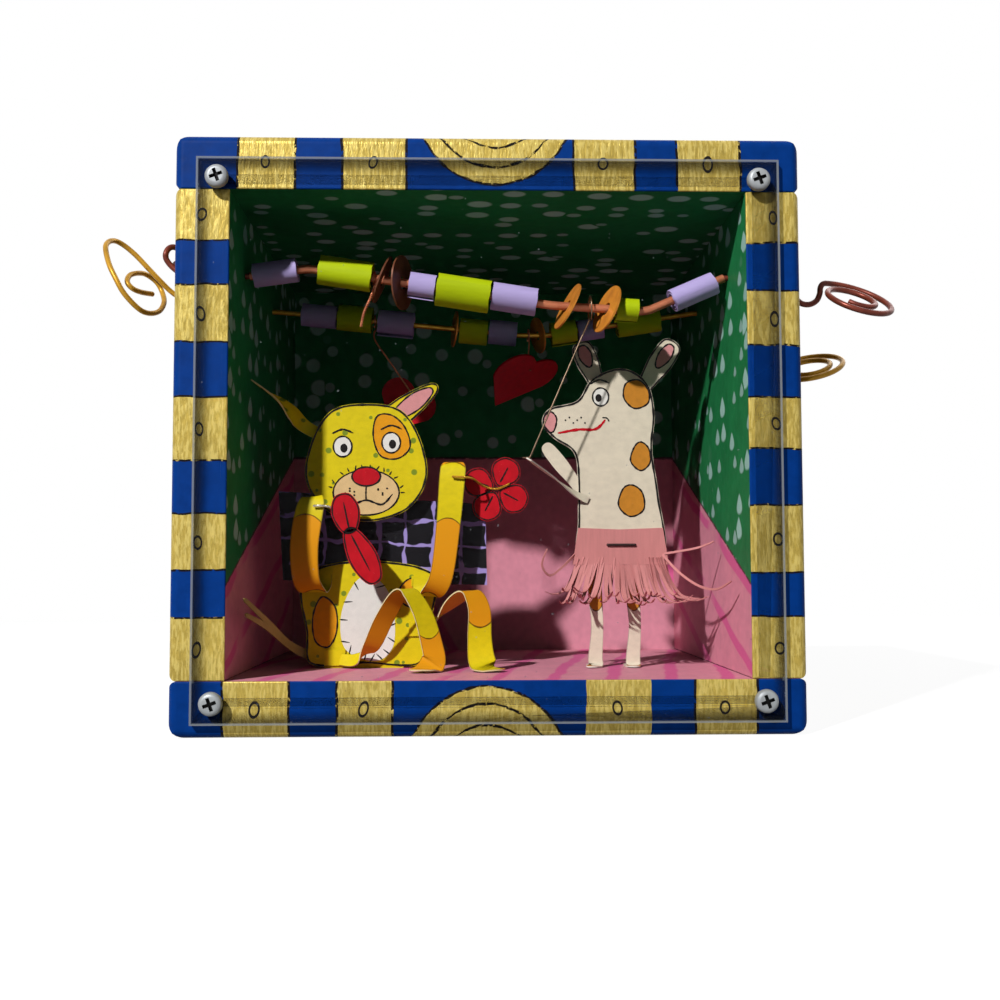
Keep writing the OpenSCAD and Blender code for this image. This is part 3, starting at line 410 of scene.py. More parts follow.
def build_shared():
    """The node groups that several materials use."""
    brushed = brushed_group()
    ink = ink_group()
    dabs = dab_group()
    SHARED.update(brushed=brushed, ink=ink, dabs=dabs, room=room_group(brushed, dabs, ink),
                  pine=pine_group(), metal=metal_group())


PAINT_SHEEN = 0.12
COAT_SHEEN = 0.15


def plain_paint(name, shade, depth=0.25, roughness=0.5, stroke=(0.5, 0.5, 0.5)):
    """Matt hand paint of one colour, with brush marks."""
    t = Paint(name)
    coat = t.brushed(shade, stroke, depth)
    return t.surface(coat["Height"], 0.03, Base_Color=coat["Colour"], Roughness=roughness,
                     Specular_IOR_Level=PAINT_SHEEN)


def handled_metal(name, shade, tarnish, amount=0.6, shine=1.0):
    """Bare metal with tarnish and scratches."""
    t = Paint(name)
    metal = t.use(SHARED["metal"], Place=t.place, Colour=shade, Tarnish=tarnish, Amount=amount)
    return t.surface(metal["Height"], 0.01, Base_Color=metal["Colour"], Metallic=shine,
                     Roughness=metal["Roughness"], Specular_IOR_Level=0.2)


def room_inputs():
    """The room's colours, as the room paint takes them."""
    box = settings()[0]
    return {"Green": tuple(box.green), "Dab": tuple(box.dab), "Pink": tuple(box.pink),
            "Stroke": tuple(box.stroke), "Ink": colour(70, 16, 44)}


# A distance at which the drawn line doesn't show
NO_LINE = 50.0
# Reach of the bare rabbet beyond the inner walls, and of the outer paint behind the panel's front
RABBET = 9.0
REAR_EDGE = 10.0
EASE = 0.35
BORDER_HALF = 0.32
# Borders of the stripes; the first stripe of each board is blue on the long ones and gold on the sides
TOP_STRIPES = (-108, -87, -67, -51, -29, 29, 50, 65, 87, 108)
BOTTOM_STRIPES = (-108, -90, -68, -52, -33, 32, 54, 69, 90, 108)
LEFT_STRIPES = (19, 40, 56, 75, 93, 115, 133.6, 153.5, 169, 187)
RIGHT_STRIPES = (19, 39.6, 54.6, 78, 97, 115, 132.6, 152, 168.6, 187)
MEDALLION_R = 26.5
MEDALLION_RINGS = (20.5, 13.5)
MEDALLION_UP = 9.5
LINE_Z_FRONT = 51
LINE_Z_BACK = 108.6


def board_paint(name, stripes, gold_first, side, medallion_x=None):
    """Striped paint outside, room paint inside and bare pine behind the panel.

    The side is the outward direction of the board: its axis and its sign.
    """
    box = settings()[0]
    axis, sign = side
    t = Paint(name)
    x, y, z = t.split(t.place)
    wobble = t.scaled(t.noise(t.place, 0.11, 2.0), 1.8, -0.9)
    along = t.plus(x if axis == "z" else z, wobble)
    low, high = stripes[0], stripes[-1]
    tones = [(at, float((k + gold_first) % 2)) for k, at in enumerate(stripes[:-1])]
    golden = t.bands(along, low - 1, high + 1, [(low - 1, tones[0][1])] + tones[1:])
    lines = [(low - 1, 0.0)]
    for at in stripes[1:-1]:
        lines += [(at - BORDER_HALF, 1.0), (at + BORDER_HALF, 0.0)]
    drawn = t.bands(along, low - 1, high + 1, lines)
    if medallion_x is not None:
        climb = t.times(t.minus(z, BOX_TOP if sign > 0 else 0.0), float(sign))
        rise = t.minus(t.plus(climb, t.minus(y, FRONT)), MEDALLION_UP)
        reach = t.vector("LENGTH", t.join(t.minus(x, medallion_x), rise))
        reach = t.plus(reach, wobble)
        golden = t.most(golden, t.below(reach, MEDALLION_R, 0.05))
        for radius in (MEDALLION_R, *MEDALLION_RINGS):
            ring = t.use(SHARED["ink"], Place=t.place, Distance=t.minus(reach, radius), Width=0.85)
            drawn = t.most(drawn, ring["Mask"])
    broken = t.step(t.noise(t.place, 0.5, 3.0), 0.4, 0.04)
    drawn = t.both(drawn, broken)
    blue = t.brushed(tuple(box.blue), (0.3, 0.25, 0.3), 0.5)
    gold = t.brushed(tuple(box.gold), (0.9, 1.1, 0.3) if axis == "x" else (1.4, 0.3, 0.3), 0.7)
    # Dark flecks are wear on the gold
    fleck = t.step(t.noise(t.place, 2.4, 3.0), 0.64, 0.03)
    wear_and_glint = t.mix(t.times(fleck, 0.5), gold["Colour"], colour(112, 88, 36))
    drag = (1.0, 0.22, 0.22) if axis == "z" else (1.0, 1.0, 0.22)
    # Paler streaks on the raised grit are painted highlights: glints on the gold
    grit = t.noise(t.vector("MULTIPLY", t.place, drag), 1.3, 2.0)
    painted_glint = t.times(t.step(grit, 0.52, 0.08), 0.55)
    wear_and_glint = t.mix(painted_glint, wear_and_glint, colour(238, 216, 128))
    outer = t.mix(golden, blue["Colour"], wear_and_glint)
    outer = t.mix(drawn, outer, tuple(box.ink))
    depth = t.math("DIVIDE", t.minus(y, FRONT), PANEL_FRONT - FRONT)
    if axis == "x":
        inner = t.minus(WALL + EASE, t.times(x, float(sign)))
        line = t.scaled(depth, LINE_Z_BACK - LINE_Z_FRONT, LINE_Z_FRONT)
        above = t.minus(z, line)
        flat = t.join(y, z)
        laid = {"Point": 0.62, "Cell": 12.5, "Slant": (-0.33, 1.0, 0.0), "Space": 13.5}
        corner = t.minus(z, FLOOR)
    else:
        inner = t.minus(CEILING + EASE, z) if sign > 0 else t.minus(z, FLOOR - EASE)
        above = NO_LINE * sign
        flat = t.join(t.times(x, 0.8), y)
        laid = {"Point": 0.0, "Cell": 11.5, "Slant": (1.25, -0.17, 0.0), "Space": 10.0}
        corner = NO_LINE
    room = t.use(SHARED["room"], Place=t.place, Flat=flat, Above=above, Corner=corner, **laid,
                 **room_inputs())
    inside = t.both(t.step(inner, 0.0, 0.1), t.step(y, FRONT + 0.4, 0.1))
    bare = t.step(y, PANEL_FRONT + 0.5, 0.4)
    grain = (0.06, 0.8, 0.8) if axis == "z" else (0.8, 0.8, 0.06)
    pine = t.use(SHARED["pine"], Place=t.place, Grain=grain)
    rabbet = t.both(t.below(t.math("ABSOLUTE", x), WALL + RABBET, 0.1), t.below(z, CEILING + RABBET, 0.1),
                    t.step(z, FLOOR - RABBET, 0.1))
    rear = t.both(bare, t.most(rabbet, t.step(y, PANEL_FRONT + REAR_EDGE, 0.3)))
    base = t.mix(rear, t.mix(inside, outer, room["Colour"]), pine["Colour"])
    outside = t.rest(t.most(inside, rear))
    shine = t.both(golden, outside, t.rest(drawn))
    rough = t.scaled(shine, -0.14, t.scaled(blue["Height"], 0.2, 0.4))
    rough_gold = t.times(t.plus(gold["Height"], t.times(grit, 0.8)), shine)
    height = t.plus(rough_gold, t.times(blue["Height"], 0.6))
    return t.surface(height, 0.16, Base_Color=base, Metallic=t.times(shine, 0.22), Roughness=rough,
                     Specular_IOR_Level=0.06)


def panel_paint():
    """Room paint on the front of the back panel and bare board behind."""
    t = Paint("panel_paint")
    x, y, z = t.split(t.place)
    room = t.use(SHARED["room"], Place=t.place, Flat=t.join(x, z), Above=t.minus(z, LINE_Z_BACK),
                 Corner=NO_LINE, Point=0.0, Cell=12.5, Slant=(1.0, 0.5, 0.0), Space=60.0, **room_inputs())
    pine = t.use(SHARED["pine"], Place=t.place, Grain=(0.35, 0.35, 0.05))
    base = t.mix(t.step(y, PANEL_FRONT + 0.3, 0.1), room["Colour"], pine["Colour"])
    return t.surface(room["Height"], 0.1, Base_Color=base, Roughness=0.55, Specular_IOR_Level=0.1)


def acrylic():
    """Clear plate: its sawn rim painted pale as a highlight along the edge, a band of painted shade just
    inside it, and a few specks of dust.
    """
    t = Paint("clear_acrylic")
    x, y, z = t.split(t.place)
    middle = (COVER_LOW + COVER_HIGH) / 2
    half = (COVER_HIGH - COVER_LOW) / 2
    sides = t.minus(half.x, t.gap(x, middle.x))
    ends = t.minus(half.z, t.gap(z, middle.z))
    near = t.math("MINIMUM", sides, ends)
    # The rim is painted pale as a highlight along the plate's edge
    rim = t.below(near, 0.75, 0.15)
    # Painted shade: a darker band just inside the rim, where the edge's shadow falls on the boards
    painted_shade_band = t.most(t.times(t.below(near, 3.4, 1.2), 0.3),
                  t.times(t.below(near, 2.0, 0.3), 0.42))
    dust = t.times(t.step(t.noise(t.place, 0.55, 1.0), 0.8, 0.01), 0.25)
    alpha = t.most(t.times(rim, 0.5), t.most(dust, t.plus(painted_shade_band, 0.004)))
    # Pale where the painted edge highlight and the dust are, dark elsewhere for the painted shade band
    pale = t.most(rim, t.step(dust, 0.1, 0.01))
    base = t.mix(pale, colour(24, 26, 26), colour(166, 172, 176))
    return t.surface(Base_Color=base, Roughness=0.2, Specular_IOR_Level=0.1, Alpha=alpha)


def screw_metal():
    """Bright screw steel, with painted shade that turns the driver's recess black."""
    t = Paint("screw_steel")
    x, y, z = t.split(t.place)
    middle = (COVER_LOW + COVER_HIGH) / 2
    half = (COVER_HIGH - COVER_LOW) / 2 - Vector((SCREW_INSET, 0, SCREW_INSET))
    aside = t.minus(t.gap(x, middle.x), half.x)
    upward = t.minus(t.gap(z, middle.z), half.z)
    reach = t.vector("LENGTH", t.join(aside, upward))
    sunk = t.step(y, span("cover_screws")[0].y + 0.12, 0.03)
    # The recess is painted near black as shade, and loses its metal sheen there
    hole = t.both(t.below(reach, SCREW_RECESS / 2 + 0.1, 0.05), sunk)
    metal = t.use(SHARED["metal"], Place=t.place, Colour=colour(172, 176, 178),
                  Tarnish=colour(132, 134, 138), Amount=0.4)
    base = t.mix(hole, metal["Colour"], colour(14, 14, 15))
    shine = t.minus(0.3, t.times(hole, 0.3))
    return t.surface(metal["Height"], 0.01, Base_Color=base, Metallic=shine, Roughness=0.45,
                     Specular_IOR_Level=0.1)


def rolled_paper(name, shade):
    """Painted paper, a little paler along its fibres."""
    return plain_paint(name, shade, 0.22, 0.55, (0.15, 0.9, 0.9))


def spotted_coat(name, coat, spots=None):
    """Coat of a cut-sheet dog: brushed ground with small round spots."""
    t = Paint(name)
    x, y, z = t.split(t.place)
    ground = t.brushed(coat, (0.35, 0.35, 0.5), 0.28)
    base = ground["Colour"]
    if spots is not None:
        marks = t.use(SHARED["dabs"], Flat=t.join(x, z), Cell=6.5, Size=0.2, Point=0.0)
        base = t.mix(t.times(marks["Mask"], 0.85), base, spots)
    return t.surface(ground["Height"], 0.02, Base_Color=base, Roughness=0.45, Specular_IOR_Level=COAT_SHEEN)


def limb_coat(name, coat, patch, share, cycle):
    """Coat of a bent strip: patches along its run, each ended by a drawn line, and a thin drawn edge."""
    t = Paint(name)
    run, across, _ = t.split(t.node("ShaderNodeUVMap", uv_map="strip").outputs[0])
    bow = t.times(t.times(across, across), 2.2)
    at = t.math("PINGPONG", t.plus(run, bow), cycle)
    ground = t.brushed(coat, (0.4, 0.4, 0.6), 0.3)
    patched = t.mix(t.step(at, cycle * share, 0.15), ground["Colour"], patch)
    ends = t.use(SHARED["ink"], Place=t.place, Distance=t.minus(at, cycle * share), Width=0.5)["Mask"]
    rim = t.step(t.math("ABSOLUTE", across), 0.93, 0.02)
    base = t.mix(t.times(t.most(ends, t.times(rim, 0.5)), 0.9), patched, colour(70, 40, 12))
    return t.surface(ground["Height"], 0.02, Base_Color=base, Roughness=0.45, Specular_IOR_Level=COAT_SHEEN)


def check_paint():
    """Black with a loose hand-drawn grid of lavender lines."""
    t = Paint("check_paint")
    x, y, z = t.split(t.place)
    waver = t.scaled(t.noise(t.place, 0.09, 2.0), 5.0, -2.5)
    level = t.plus(t.scaled(x, 0.05, z), waver)
    upright = t.plus(x, waver)
    width = t.scaled(t.noise(t.place, 0.16, 1.0), 2.2, -0.35)
    rows = t.below(t.math("PINGPONG", level, 4.6), width, 0.12)
    posts = t.below(t.math("PINGPONG", upright, 5.2), width, 0.12)
    ground = t.brushed(colour(14, 12, 17), (0.4, 0.4, 0.4), 0.5)
    drawn = t.both(t.most(rows, posts), t.step(t.noise(t.place, 0.12, 3.0), 0.38, 0.03))
    base = t.mix(drawn, ground["Colour"], colour(168, 150, 214))
    return t.surface(ground["Height"], 0.03, Base_Color=base, Roughness=0.5, Specular_IOR_Level=PAINT_SHEEN)


# Metals: name, colour, tarnish, share of tarnish and metallic share
METALS = {
    "brad": ("brad_steel", (168, 166, 162), (96, 84, 72), 0.7, 1.0),
    "gilt": ("gilt_steel", (206, 172, 88), (130, 98, 44), 0.6, 1.0),
    # Darker copper for the rod's ends outside the box: painted shade
    "aged_copper": ("aged_copper", (128, 60, 44), (80, 36, 28), 0.6, 0.25),
    # A darker copy of the disc copper: painted shade for the discs whose faces turn from the light
    "shaded_disc": ("dull_copper", (128, 76, 50), (92, 54, 38), 0.6, 0.15),
    "disc": ("lacquered_copper", (232, 150, 54), (178, 100, 44), 0.6, 0.15),
    "silver": ("bright_wire", (208, 204, 196), (140, 132, 118), 0.5, 1.0),
    "grey_wire": ("grey_wire", (120, 100, 82), (74, 60, 48), 0.6, 1.0),
    "dark_wire": ("dark_wire", (70, 56, 54), (40, 30, 30), 0.6, 1.0)}
# Plain paints: name, colour, depth of the brush marks and roughness
PLAIN = {
    "edge": ("cut_edge", (226, 210, 160), 0.3, 0.6),
    "straw": ("straw_paint", (178, 162, 92), 0.3, 0.6),
    "pale_edge": ("pale_edge", (236, 228, 214), 0.3, 0.6),
    "white": ("white_paint", (240, 236, 228), 0.18, 0.5),
    "blush": ("blush_paint", (222, 150, 150), 0.3, 0.5),
    "sand": ("sand_paint", (232, 196, 140), 0.25, 0.5)}


def build_materials():
    """Every finish of the object, by name."""
    box, garland, dogs, _ = settings()
    for finish, (name, shade, tarnish, amount, shine) in METALS.items():
        MATERIALS[finish] = handled_metal(name, colour(*shade), colour(*tarnish), amount, shine)
    for finish, (name, shade, depth, roughness) in PLAIN.items():
        MATERIALS[finish] = plain_paint(name, colour(*shade), depth, roughness)
    MATERIALS.update(
        top=board_paint("top_paint", TOP_STRIPES, 0, ("z", 1), 2.0),
        bottom=board_paint("bottom_paint", BOTTOM_STRIPES, 0, ("z", -1), -1.0),
        left=board_paint("left_paint", LEFT_STRIPES, 1, ("x", -1)),
        right=board_paint("right_paint", RIGHT_STRIPES, 1, ("x", 1)),
        panel=panel_paint(),
        acrylic=acrylic(),
        screw=screw_metal(),
        copper=handled_metal("bare_copper", tuple(garland.copper), colour(132, 70, 50), 0.6, 0.25),
        brass=handled_metal("bare_brass", tuple(garland.brass), colour(132, 92, 24), 0.5, 0.3),
        lavender=rolled_paper("lavender_paper", tuple(garland.lavender)),
        lime=rolled_paper("lime_paper", tuple(garland.lime)),
        red=plain_paint("red_paint", tuple(garland.red), 0.55, 0.42, (0.4, 0.4, 0.25)),
        yellow=spotted_coat("yellow_coat", tuple(dogs.yellow), colour(96, 132, 40)),
        yellow_limb=limb_coat("yellow_limb", tuple(dogs.yellow), tuple(dogs.orange), 0.42, 26.0),
        cream=spotted_coat("cream_coat", tuple(dogs.cream)),
        cream_limb=limb_coat("cream_limb", tuple(dogs.cream), tuple(dogs.tan), 0.6, 19.0),
        skirt=plain_paint("skirt_paper", tuple(dogs.skirt), 0.25, 0.55, (1.2, 1.2, 0.1)),
        check=check_paint(),
        ink=plain_paint("ink", tuple(box.ink), 0.3, 0.5),
        orange=plain_paint("orange_paint", tuple(dogs.orange), 0.35, 0.5),
        tan=plain_paint("tan_paint", tuple(dogs.tan), 0.4, 0.5),
    )


def smooth(a, b, c, d, t):
    """Point of an even curve between b and c."""
    square = (2 * a - 5 * b + 4 * c - d) * t ** 2
    cube = (3 * b - a - 3 * c + d) * t ** 3
    return 0.5 * (2 * b + (c - a) * t + square + cube)


def smooth_loop(points, steps=10):
    p = [Vector(q) for q in points]
    n = len(p)
    return [smooth(p[i - 1], p[i], p[(i + 1) % n], p[(i + 2) % n], k / steps)
            for i in range(n) for k in range(steps)]


def smooth_path(points, steps=10):
    p = [Vector(q) for q in points]
    last = len(p) - 1
    curve = [smooth(p[max(i - 1, 0)], p[i], p[i + 1], p[min(i + 2, last)], k / steps)
             for i in range(last) for k in range(steps)]
    return curve + [p[last]]


def oval(x, z, half_x, half_z, turn=0.0, count=30):
    """Points of an ellipse, turned by degrees."""
    lean = Matrix.Rotation(math.radians(turn), 2)
    angles = (2 * math.pi * k / count for k in range(count))
    return [Vector((x, z)) + lean @ Vector((half_x * math.cos(a), half_z * math.sin(a))) for a in angles]


def leaf(base, tip, halves):
    """A pointed or rounded leaf from its base to its tip, with half widths at even steps."""
    base, tip = Vector(base), Vector(tip)
    along = tip - base
    out = Vector((-along.y, along.x)).normalized()
    last = len(halves) - 1
    left = [base + along * i / last + out * halves[i] for i in range(last + 1)]
    right = [base + along * i / last - out * halves[i] for i in range(last, -1, -1)]
    return smooth_loop(left + right, 6)


def area(outline):
    """Signed area: positive where the points run against the clock, seen from the front."""
    return sum(a[0] * b[1] - b[0] * a[1] for a, b in zip(outline, outline[1:] + outline[:1])) / 2


def drawn_in(outline, by):
    """The outline moved inwards by a distance."""
    points = outline if area(outline) > 0 else outline[::-1]
    n = len(points)
    ways = [(points[(i + 1) % n] - points[i - 1]).normalized() for i in range(n)]
    return [p + Vector((-w[1], w[0])) * by for p, w in zip(points, ways)]


def settle(piece, body, replaces=()):
    """Puts a finished piece on its body and hides the CAD nodes that it stands for."""
    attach(piece, body)
    if replaces:
        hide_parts(*replaces)
    return piece


def make_piece(name, mesh, body, replaces=(), sharp=40):
    """An object of a finished mesh, shaded smooth up to an angle."""
    mesh.polygons.foreach_set("use_smooth", [True] * len(mesh.polygons))
    mesh.set_sharp_from_angle(angle=math.radians(sharp))
    piece = bpy.data.objects.new(name, mesh)
    bpy.context.scene.collection.objects.link(piece)
    return settle(piece, body, replaces)


class Shape:
    """Points and faces of one mesh, gathered in millimetres."""

    def __init__(self):
        self.points = []
        self.faces = []
        self.marks = []
        self.map = []

    def add(self, points, faces, mark=0, places=None):
        start = len(self.points)
        self.points += [tuple(p) for p in points]
        self.map += places or [(0.0, 0.0)] * len(points)
        for face in faces:
            self.faces.append([start + i for i in face])
            self.marks.append(mark)

    def mesh(self, name, materials):
        made = bpy.data.meshes.new(name)
        made.from_pydata([Vector(p) * MM for p in self.points], [], self.faces)
        for material in materials:
            made.materials.append(MATERIALS[material])
        made.polygons.foreach_set("material_index", self.marks)
        layer = made.uv_layers.new(name="strip")
        for loop in made.loops:
            layer.data[loop.index].uv = self.map[loop.vertex_index]
        made.validate()
        return made

    def piece(self, name, materials, body, slot, replaces=(), sharp=40):
        """Makes the shape a piece of the object."""
        return make_piece(name, self.mesh(name, materials), body, replaces, sharp)

    def sheet(self, outline, back, thick=SHEET):
        """A flat sheet standing across the box; its rim has the second material."""
        points = outline if area(outline) > 0 else outline[::-1]
        n = len(points)
        ring = [(p[0], back - thick, p[1]) for p in points] + [(p[0], back, p[1]) for p in points]
        self.add(ring, [range(n), range(2 * n - 1, n - 1, -1)])
        start = len(self.points) - 2 * n
        for i in range(n):
            j = (i + 1) % n
            self.faces.append([start + j, start + i, start + n + i, start + n + j])
            self.marks.append(1)

    def block(self, low, high):
        """A small plain flange between two corners."""
        corners = [(x, y, z) for z in (low[2], high[2]) for y in (low[1], high[1])
                   for x in (low[0], high[0])]
        self.add(corners, [(0, 2, 3, 1), (4, 5, 7, 6), (0, 1, 5, 4), (2, 6, 7, 3), (0, 4, 6, 2),
                           (1, 3, 7, 5)])

    def strip(self, rows, at, thick=STRIP, steps=9, round_tip=True):
        """A bent strip; each row is a point, the direction of the width, and the width."""
        path = smooth_path(rows, steps)
        line = [Vector(r[:3]) + at for r in path]
        last = len(line) - 1
        runs = [0.0]
        for a, b in zip(line, line[1:]):
            runs.append(runs[-1] + (b - a).length)
        ring = []
        places = []
        for i, row in enumerate(path):
            way = (line[min(i + 1, last)] - line[max(i - 1, 0)]).normalized()
            side = Vector(row[3:6])
            side = (side - side.dot(way) * way).normalized()
            left = (runs[-1] - runs[i]) / (row[6] / 2)
            close = math.sqrt(max(0.02, 1 - (1 - left) ** 2)) if round_tip and left < 1 else 1.0
            a = side * row[6] / 2 * close
            b = way.cross(side) * thick / 2
            ring += [line[i] + a + b, line[i] - a + b, line[i] - a - b, line[i] + a - b]
            places += [(runs[i], 1.0), (runs[i], -1.0), (runs[i], -1.0), (runs[i], 1.0)]
        start = len(self.points)
        self.add(ring, [], 0, places)
        for i in range(last):
            for j in range(4):
                k = (j + 1) % 4
                here, there = start + 4 * i, start + 4 * (i + 1)
                self.faces.append([here + k, there + k, there + j, here + j])
                self.marks.append(j % 2)
        end = start + 4 * last
        self.faces += [[start + 3, start + 2, start + 1, start], [end, end + 1, end + 2, end + 3]]
        self.marks += [1, 1]


PAINTS = ("ink", "white", "orange", "tan", "red", "blush", "sand")
YELLOW_COAT = ("yellow", "edge")
CREAM_COAT = ("cream", "pale_edge")


class Painting(Shape):
    """Thin painted marks on the front of one sheet."""

    def __init__(self, front, at):
        super().__init__()
        self.front = front
        self.at = Vector((at.x, at.z))

    def add(self, points, faces, mark=0, places=None):
        """Flat marks become a thin closed film of paint."""
        n = len(points)
        flat = [list(face) for face in faces]
        edges = {(a, b): None for face in flat for a, b in zip(face, face[1:] + face[:1])}
        backs = [[i + n for i in reversed(face)] for face in flat]
        walls = [[b, a, a + n, b + n] for a, b in edges if (b, a) not in edges]
        deep = [(x, y + FILM, z) for x, y, z in points]
        super().add([*points, *deep], flat + backs + walls, mark, places)

    def fill(self, outline, paint, lift=1):
        points = outline if area(outline) > 0 else outline[::-1]
        placed = [self.at + p for p in points]
        level = self.front - PAINT * lift
        self.add([(p[0], level, p[1]) for p in placed], [range(len(placed))], PAINTS.index(paint))

    def line(self, path, width=INK_W, paint="ink", lift=3, closed=False):
        """A drawn line whose width swells and fades as a pen's does."""
        n = len(path)
        ends = [(i + 1) % n if closed else min(i + 1, n - 1) for i in range(n)]
        starts = [i - 1 if closed else max(i - 1, 0) for i in range(n)]
        points = []
        for i, p in enumerate(path):
            way = (path[ends[i]] - path[starts[i]]).normalized()
            fade = 1.0 if closed else min(1.0, 0.35 + 5.0 * min(i, n - 1 - i) / n)
            half = width / 2 * fade * (1 + 0.3 * math.sin(1.3 * i) * math.cos(0.37 * i))
            for side in (half, -half):
                q = self.at + p + Vector((-way[1], way[0])) * side
                points.append((q[0], self.front - PAINT * lift, q[1]))
        pairs = [(i, (i + 1) % n) for i in range(n if closed else n - 1)]
        self.add(points, [(2 * a, 2 * a + 1, 2 * b + 1, 2 * b) for a, b in pairs], PAINTS.index(paint))

    def edged(self, outline, paint, lift=1, width=INK_W):
        """A filled mark with a drawn outline."""
        self.fill(outline, paint, lift)
        self.line(outline, width, lift=lift + 1, closed=True)

    def ticks(self, outline, count, first, last, length=2.6):
        """Short pen ticks across an outline, between two shares of its run."""
        n = len(outline)
        for k in range(count):
            i = int(n * (first + (last - first) * k / (count - 1))) % n
            way = (outline[(i + 1) % n] - outline[i - 1]).normalized()
            out = Vector((way[1], -way[0])) + way * 0.5 * math.sin(2.1 * k)
            self.line([outline[i] + out * (length * s / 4 - 0.4) for s in range(5)], 0.45)

    def finish(self, name, body, slot):
        return self.piece(name, PAINTS, body, slot)


def geometry_tree(name, inputs):
    """A new geometry tree with named inputs, and its input sockets by name."""
    group = bpy.data.node_groups.new(name, "GeometryNodeTree")
    group.interface.new_socket(name="Geometry", in_out="INPUT", socket_type="NodeSocketGeometry")
    for label, kind in inputs.items():
        group.interface.new_socket(name=label, in_out="INPUT", socket_type="NodeSocket" + kind)
    group.interface.new_socket(name="Geometry", in_out="OUTPUT", socket_type="NodeSocketGeometry")
    tree = Tree(group)
    entry = tree.node("NodeGroupInput")
    return tree, {s.name: s for s in entry.outputs if s.name}


def end_tree(tree, geometry, material):
    """Realizes what was made, gives it its material and ends the tree."""
    real = tree.node("GeometryNodeRealizeInstances", geometry).outputs[0]
    coated = tree.fed(tree.node("GeometryNodeSetMaterial", real), Material=material)
    tree.node("NodeGroupOutput", coated.outputs[0])
    return tree.tree


def strand(tree, curve, radius, sides):
    """A round wire along a curve."""
    section = tree.node("GeometryNodeCurvePrimitiveCircle", sides, radius)
    made = tree.node("GeometryNodeCurveToMesh", curve, section.outputs[0])
    return tree.fed(made, Fill_Caps=True).outputs[0]


def wire_tree():
    """One round wire along each chain of edges."""
    t, given = geometry_tree("Wire", {"Radius": "Float", "Sides": "Int", "Material": "Material"})
    curve = t.node("GeometryNodeMeshToCurve", given["Geometry"]).outputs[0]
    return end_tree(t, strand(t, curve, given["Radius"], given["Sides"]), given["Material"])


def twisted_tree():
    """Two wires twisted round each other along each chain of edges."""
    t, given = geometry_tree("Twisted wire", {"Radius": "Float", "Pitch": "Float", "Step": "Float",
                                              "Sides": "Int", "Material": "Material"})
    path = t.node("GeometryNodeMeshToCurve", given["Geometry"]).outputs[0]
    fine = t.fed(t.node("GeometryNodeResampleCurve", path, mode="LENGTH"), Length=given["Step"])
    run = t.node("GeometryNodeSplineParameter").outputs["Length"]
    turn = t.times(t.math("DIVIDE", run, given["Pitch"]), 2 * math.pi)
    normal = t.node("GeometryNodeInputNormal").outputs[0]
    way = t.node("GeometryNodeInputTangent").outputs[0]
    both = t.node("GeometryNodeJoinGeometry")
    for phase in (0.0, math.pi):
        spun = t.fed(t.node("ShaderNodeVectorRotate", rotation_type="AXIS_ANGLE"), Vector=normal, Axis=way,
                     Angle=t.plus(turn, phase))
        moved = t.fed(t.node("GeometryNodeSetPosition", fine.outputs[0]),
                      Offset=t.vector("SCALE", spun.outputs[0], given["Radius"]))
        t.tree.links.new(strand(t, moved.outputs[0], given["Radius"], given["Sides"]), both.inputs[0])
    return end_tree(t, both.outputs[0], given["Material"])


def chance(tree, low, high, seed):
    """A random vector between two limits for each copy."""
    made = tree.node("FunctionNodeRandomValue", low, high, None, seed, data_type="FLOAT_VECTOR")
    return made.outputs[0]


def mark_tree():
    """A small drawn ring on each point, no two quite alike."""
    t, given = geometry_tree("Ring marks", {"Radius": "Float", "Pen": "Float", "Material": "Material"})
    circle = t.node("GeometryNodeCurvePrimitiveCircle", 20, given["Radius"]).outputs[0]
    ring = strand(t, circle, given["Pen"], 6)
    upright = t.fed(t.node("GeometryNodeTransform", ring), Rotation=(math.pi / 2, 0, 0))
    placed = t.fed(t.node("GeometryNodeInstanceOnPoints", given["Geometry"]), Instance=upright.outputs[0],
                   Rotation=chance(t, (0, -0.35, 0), (0, 0.35, 0), 7),
                   Scale=chance(t, (0.6, 0.08, 0.95), (0.85, 0.08, 1.35), 7))
    return end_tree(t, placed.outputs[0], given["Material"])


def fringe_tree():
    """Copies of one strand along a hem, leaning and curling outwards, each a little different."""
    t, given = geometry_tree("Fringe", {"Count": "Int", "Start": "Vector", "End": "Vector", "Lean": "Float",
                                        "Material": "Material"})
    hem = t.fed(t.node("GeometryNodeMeshLine", mode="END_POINTS"), Count=given["Count"],
                Start_Location=given["Start"], Offset=given["End"])
    index = t.node("GeometryNodeInputIndex").outputs[0]
    share = t.math("DIVIDE", index, t.minus(given["Count"], 1.0))
    lean = t.times(t.scaled(share, 2.0, -1.0), given["Lean"])
    loose = chance(t, (-0.26, -0.08, -0.4), (0.06, 0.08, 0.4), 3)
    aside = t.join(0.0, t.times(lean, -1.0), t.times(lean, 1.7))
    placed = t.fed(t.node("GeometryNodeInstanceOnPoints", hem.outputs[0]), Instance=given["Geometry"],
                   Rotation=t.vector("ADD", loose, aside),
                   Scale=chance(t, (0.75, 0.7, 0.8), (1.25, 1.5, 1.08), 5))
    return end_tree(t, placed.outputs[0], given["Material"])


def grown(name, base, tree, **values):
    """The plain mesh that a geometry tree makes of a base mesh."""
    carrier = bpy.data.objects.new(name, base)
    bpy.context.scene.collection.objects.link(carrier)
    modifier = carrier.modifiers.new("Grow", "NODES")
    modifier.node_group = tree
    for item in tree.interface.items_tree:
        if item.in_out == "INPUT" and item.name in values:
            modifier[item.identifier] = values[item.name]
    whole = carrier.evaluated_get(bpy.context.evaluated_depsgraph_get())
    mesh = bpy.data.meshes.new_from_object(whole)
    bpy.data.objects.remove(carrier)
    if not mesh.polygons:
        raise RuntimeError(f"the tree {tree.name} made nothing for {name}")
    return mesh


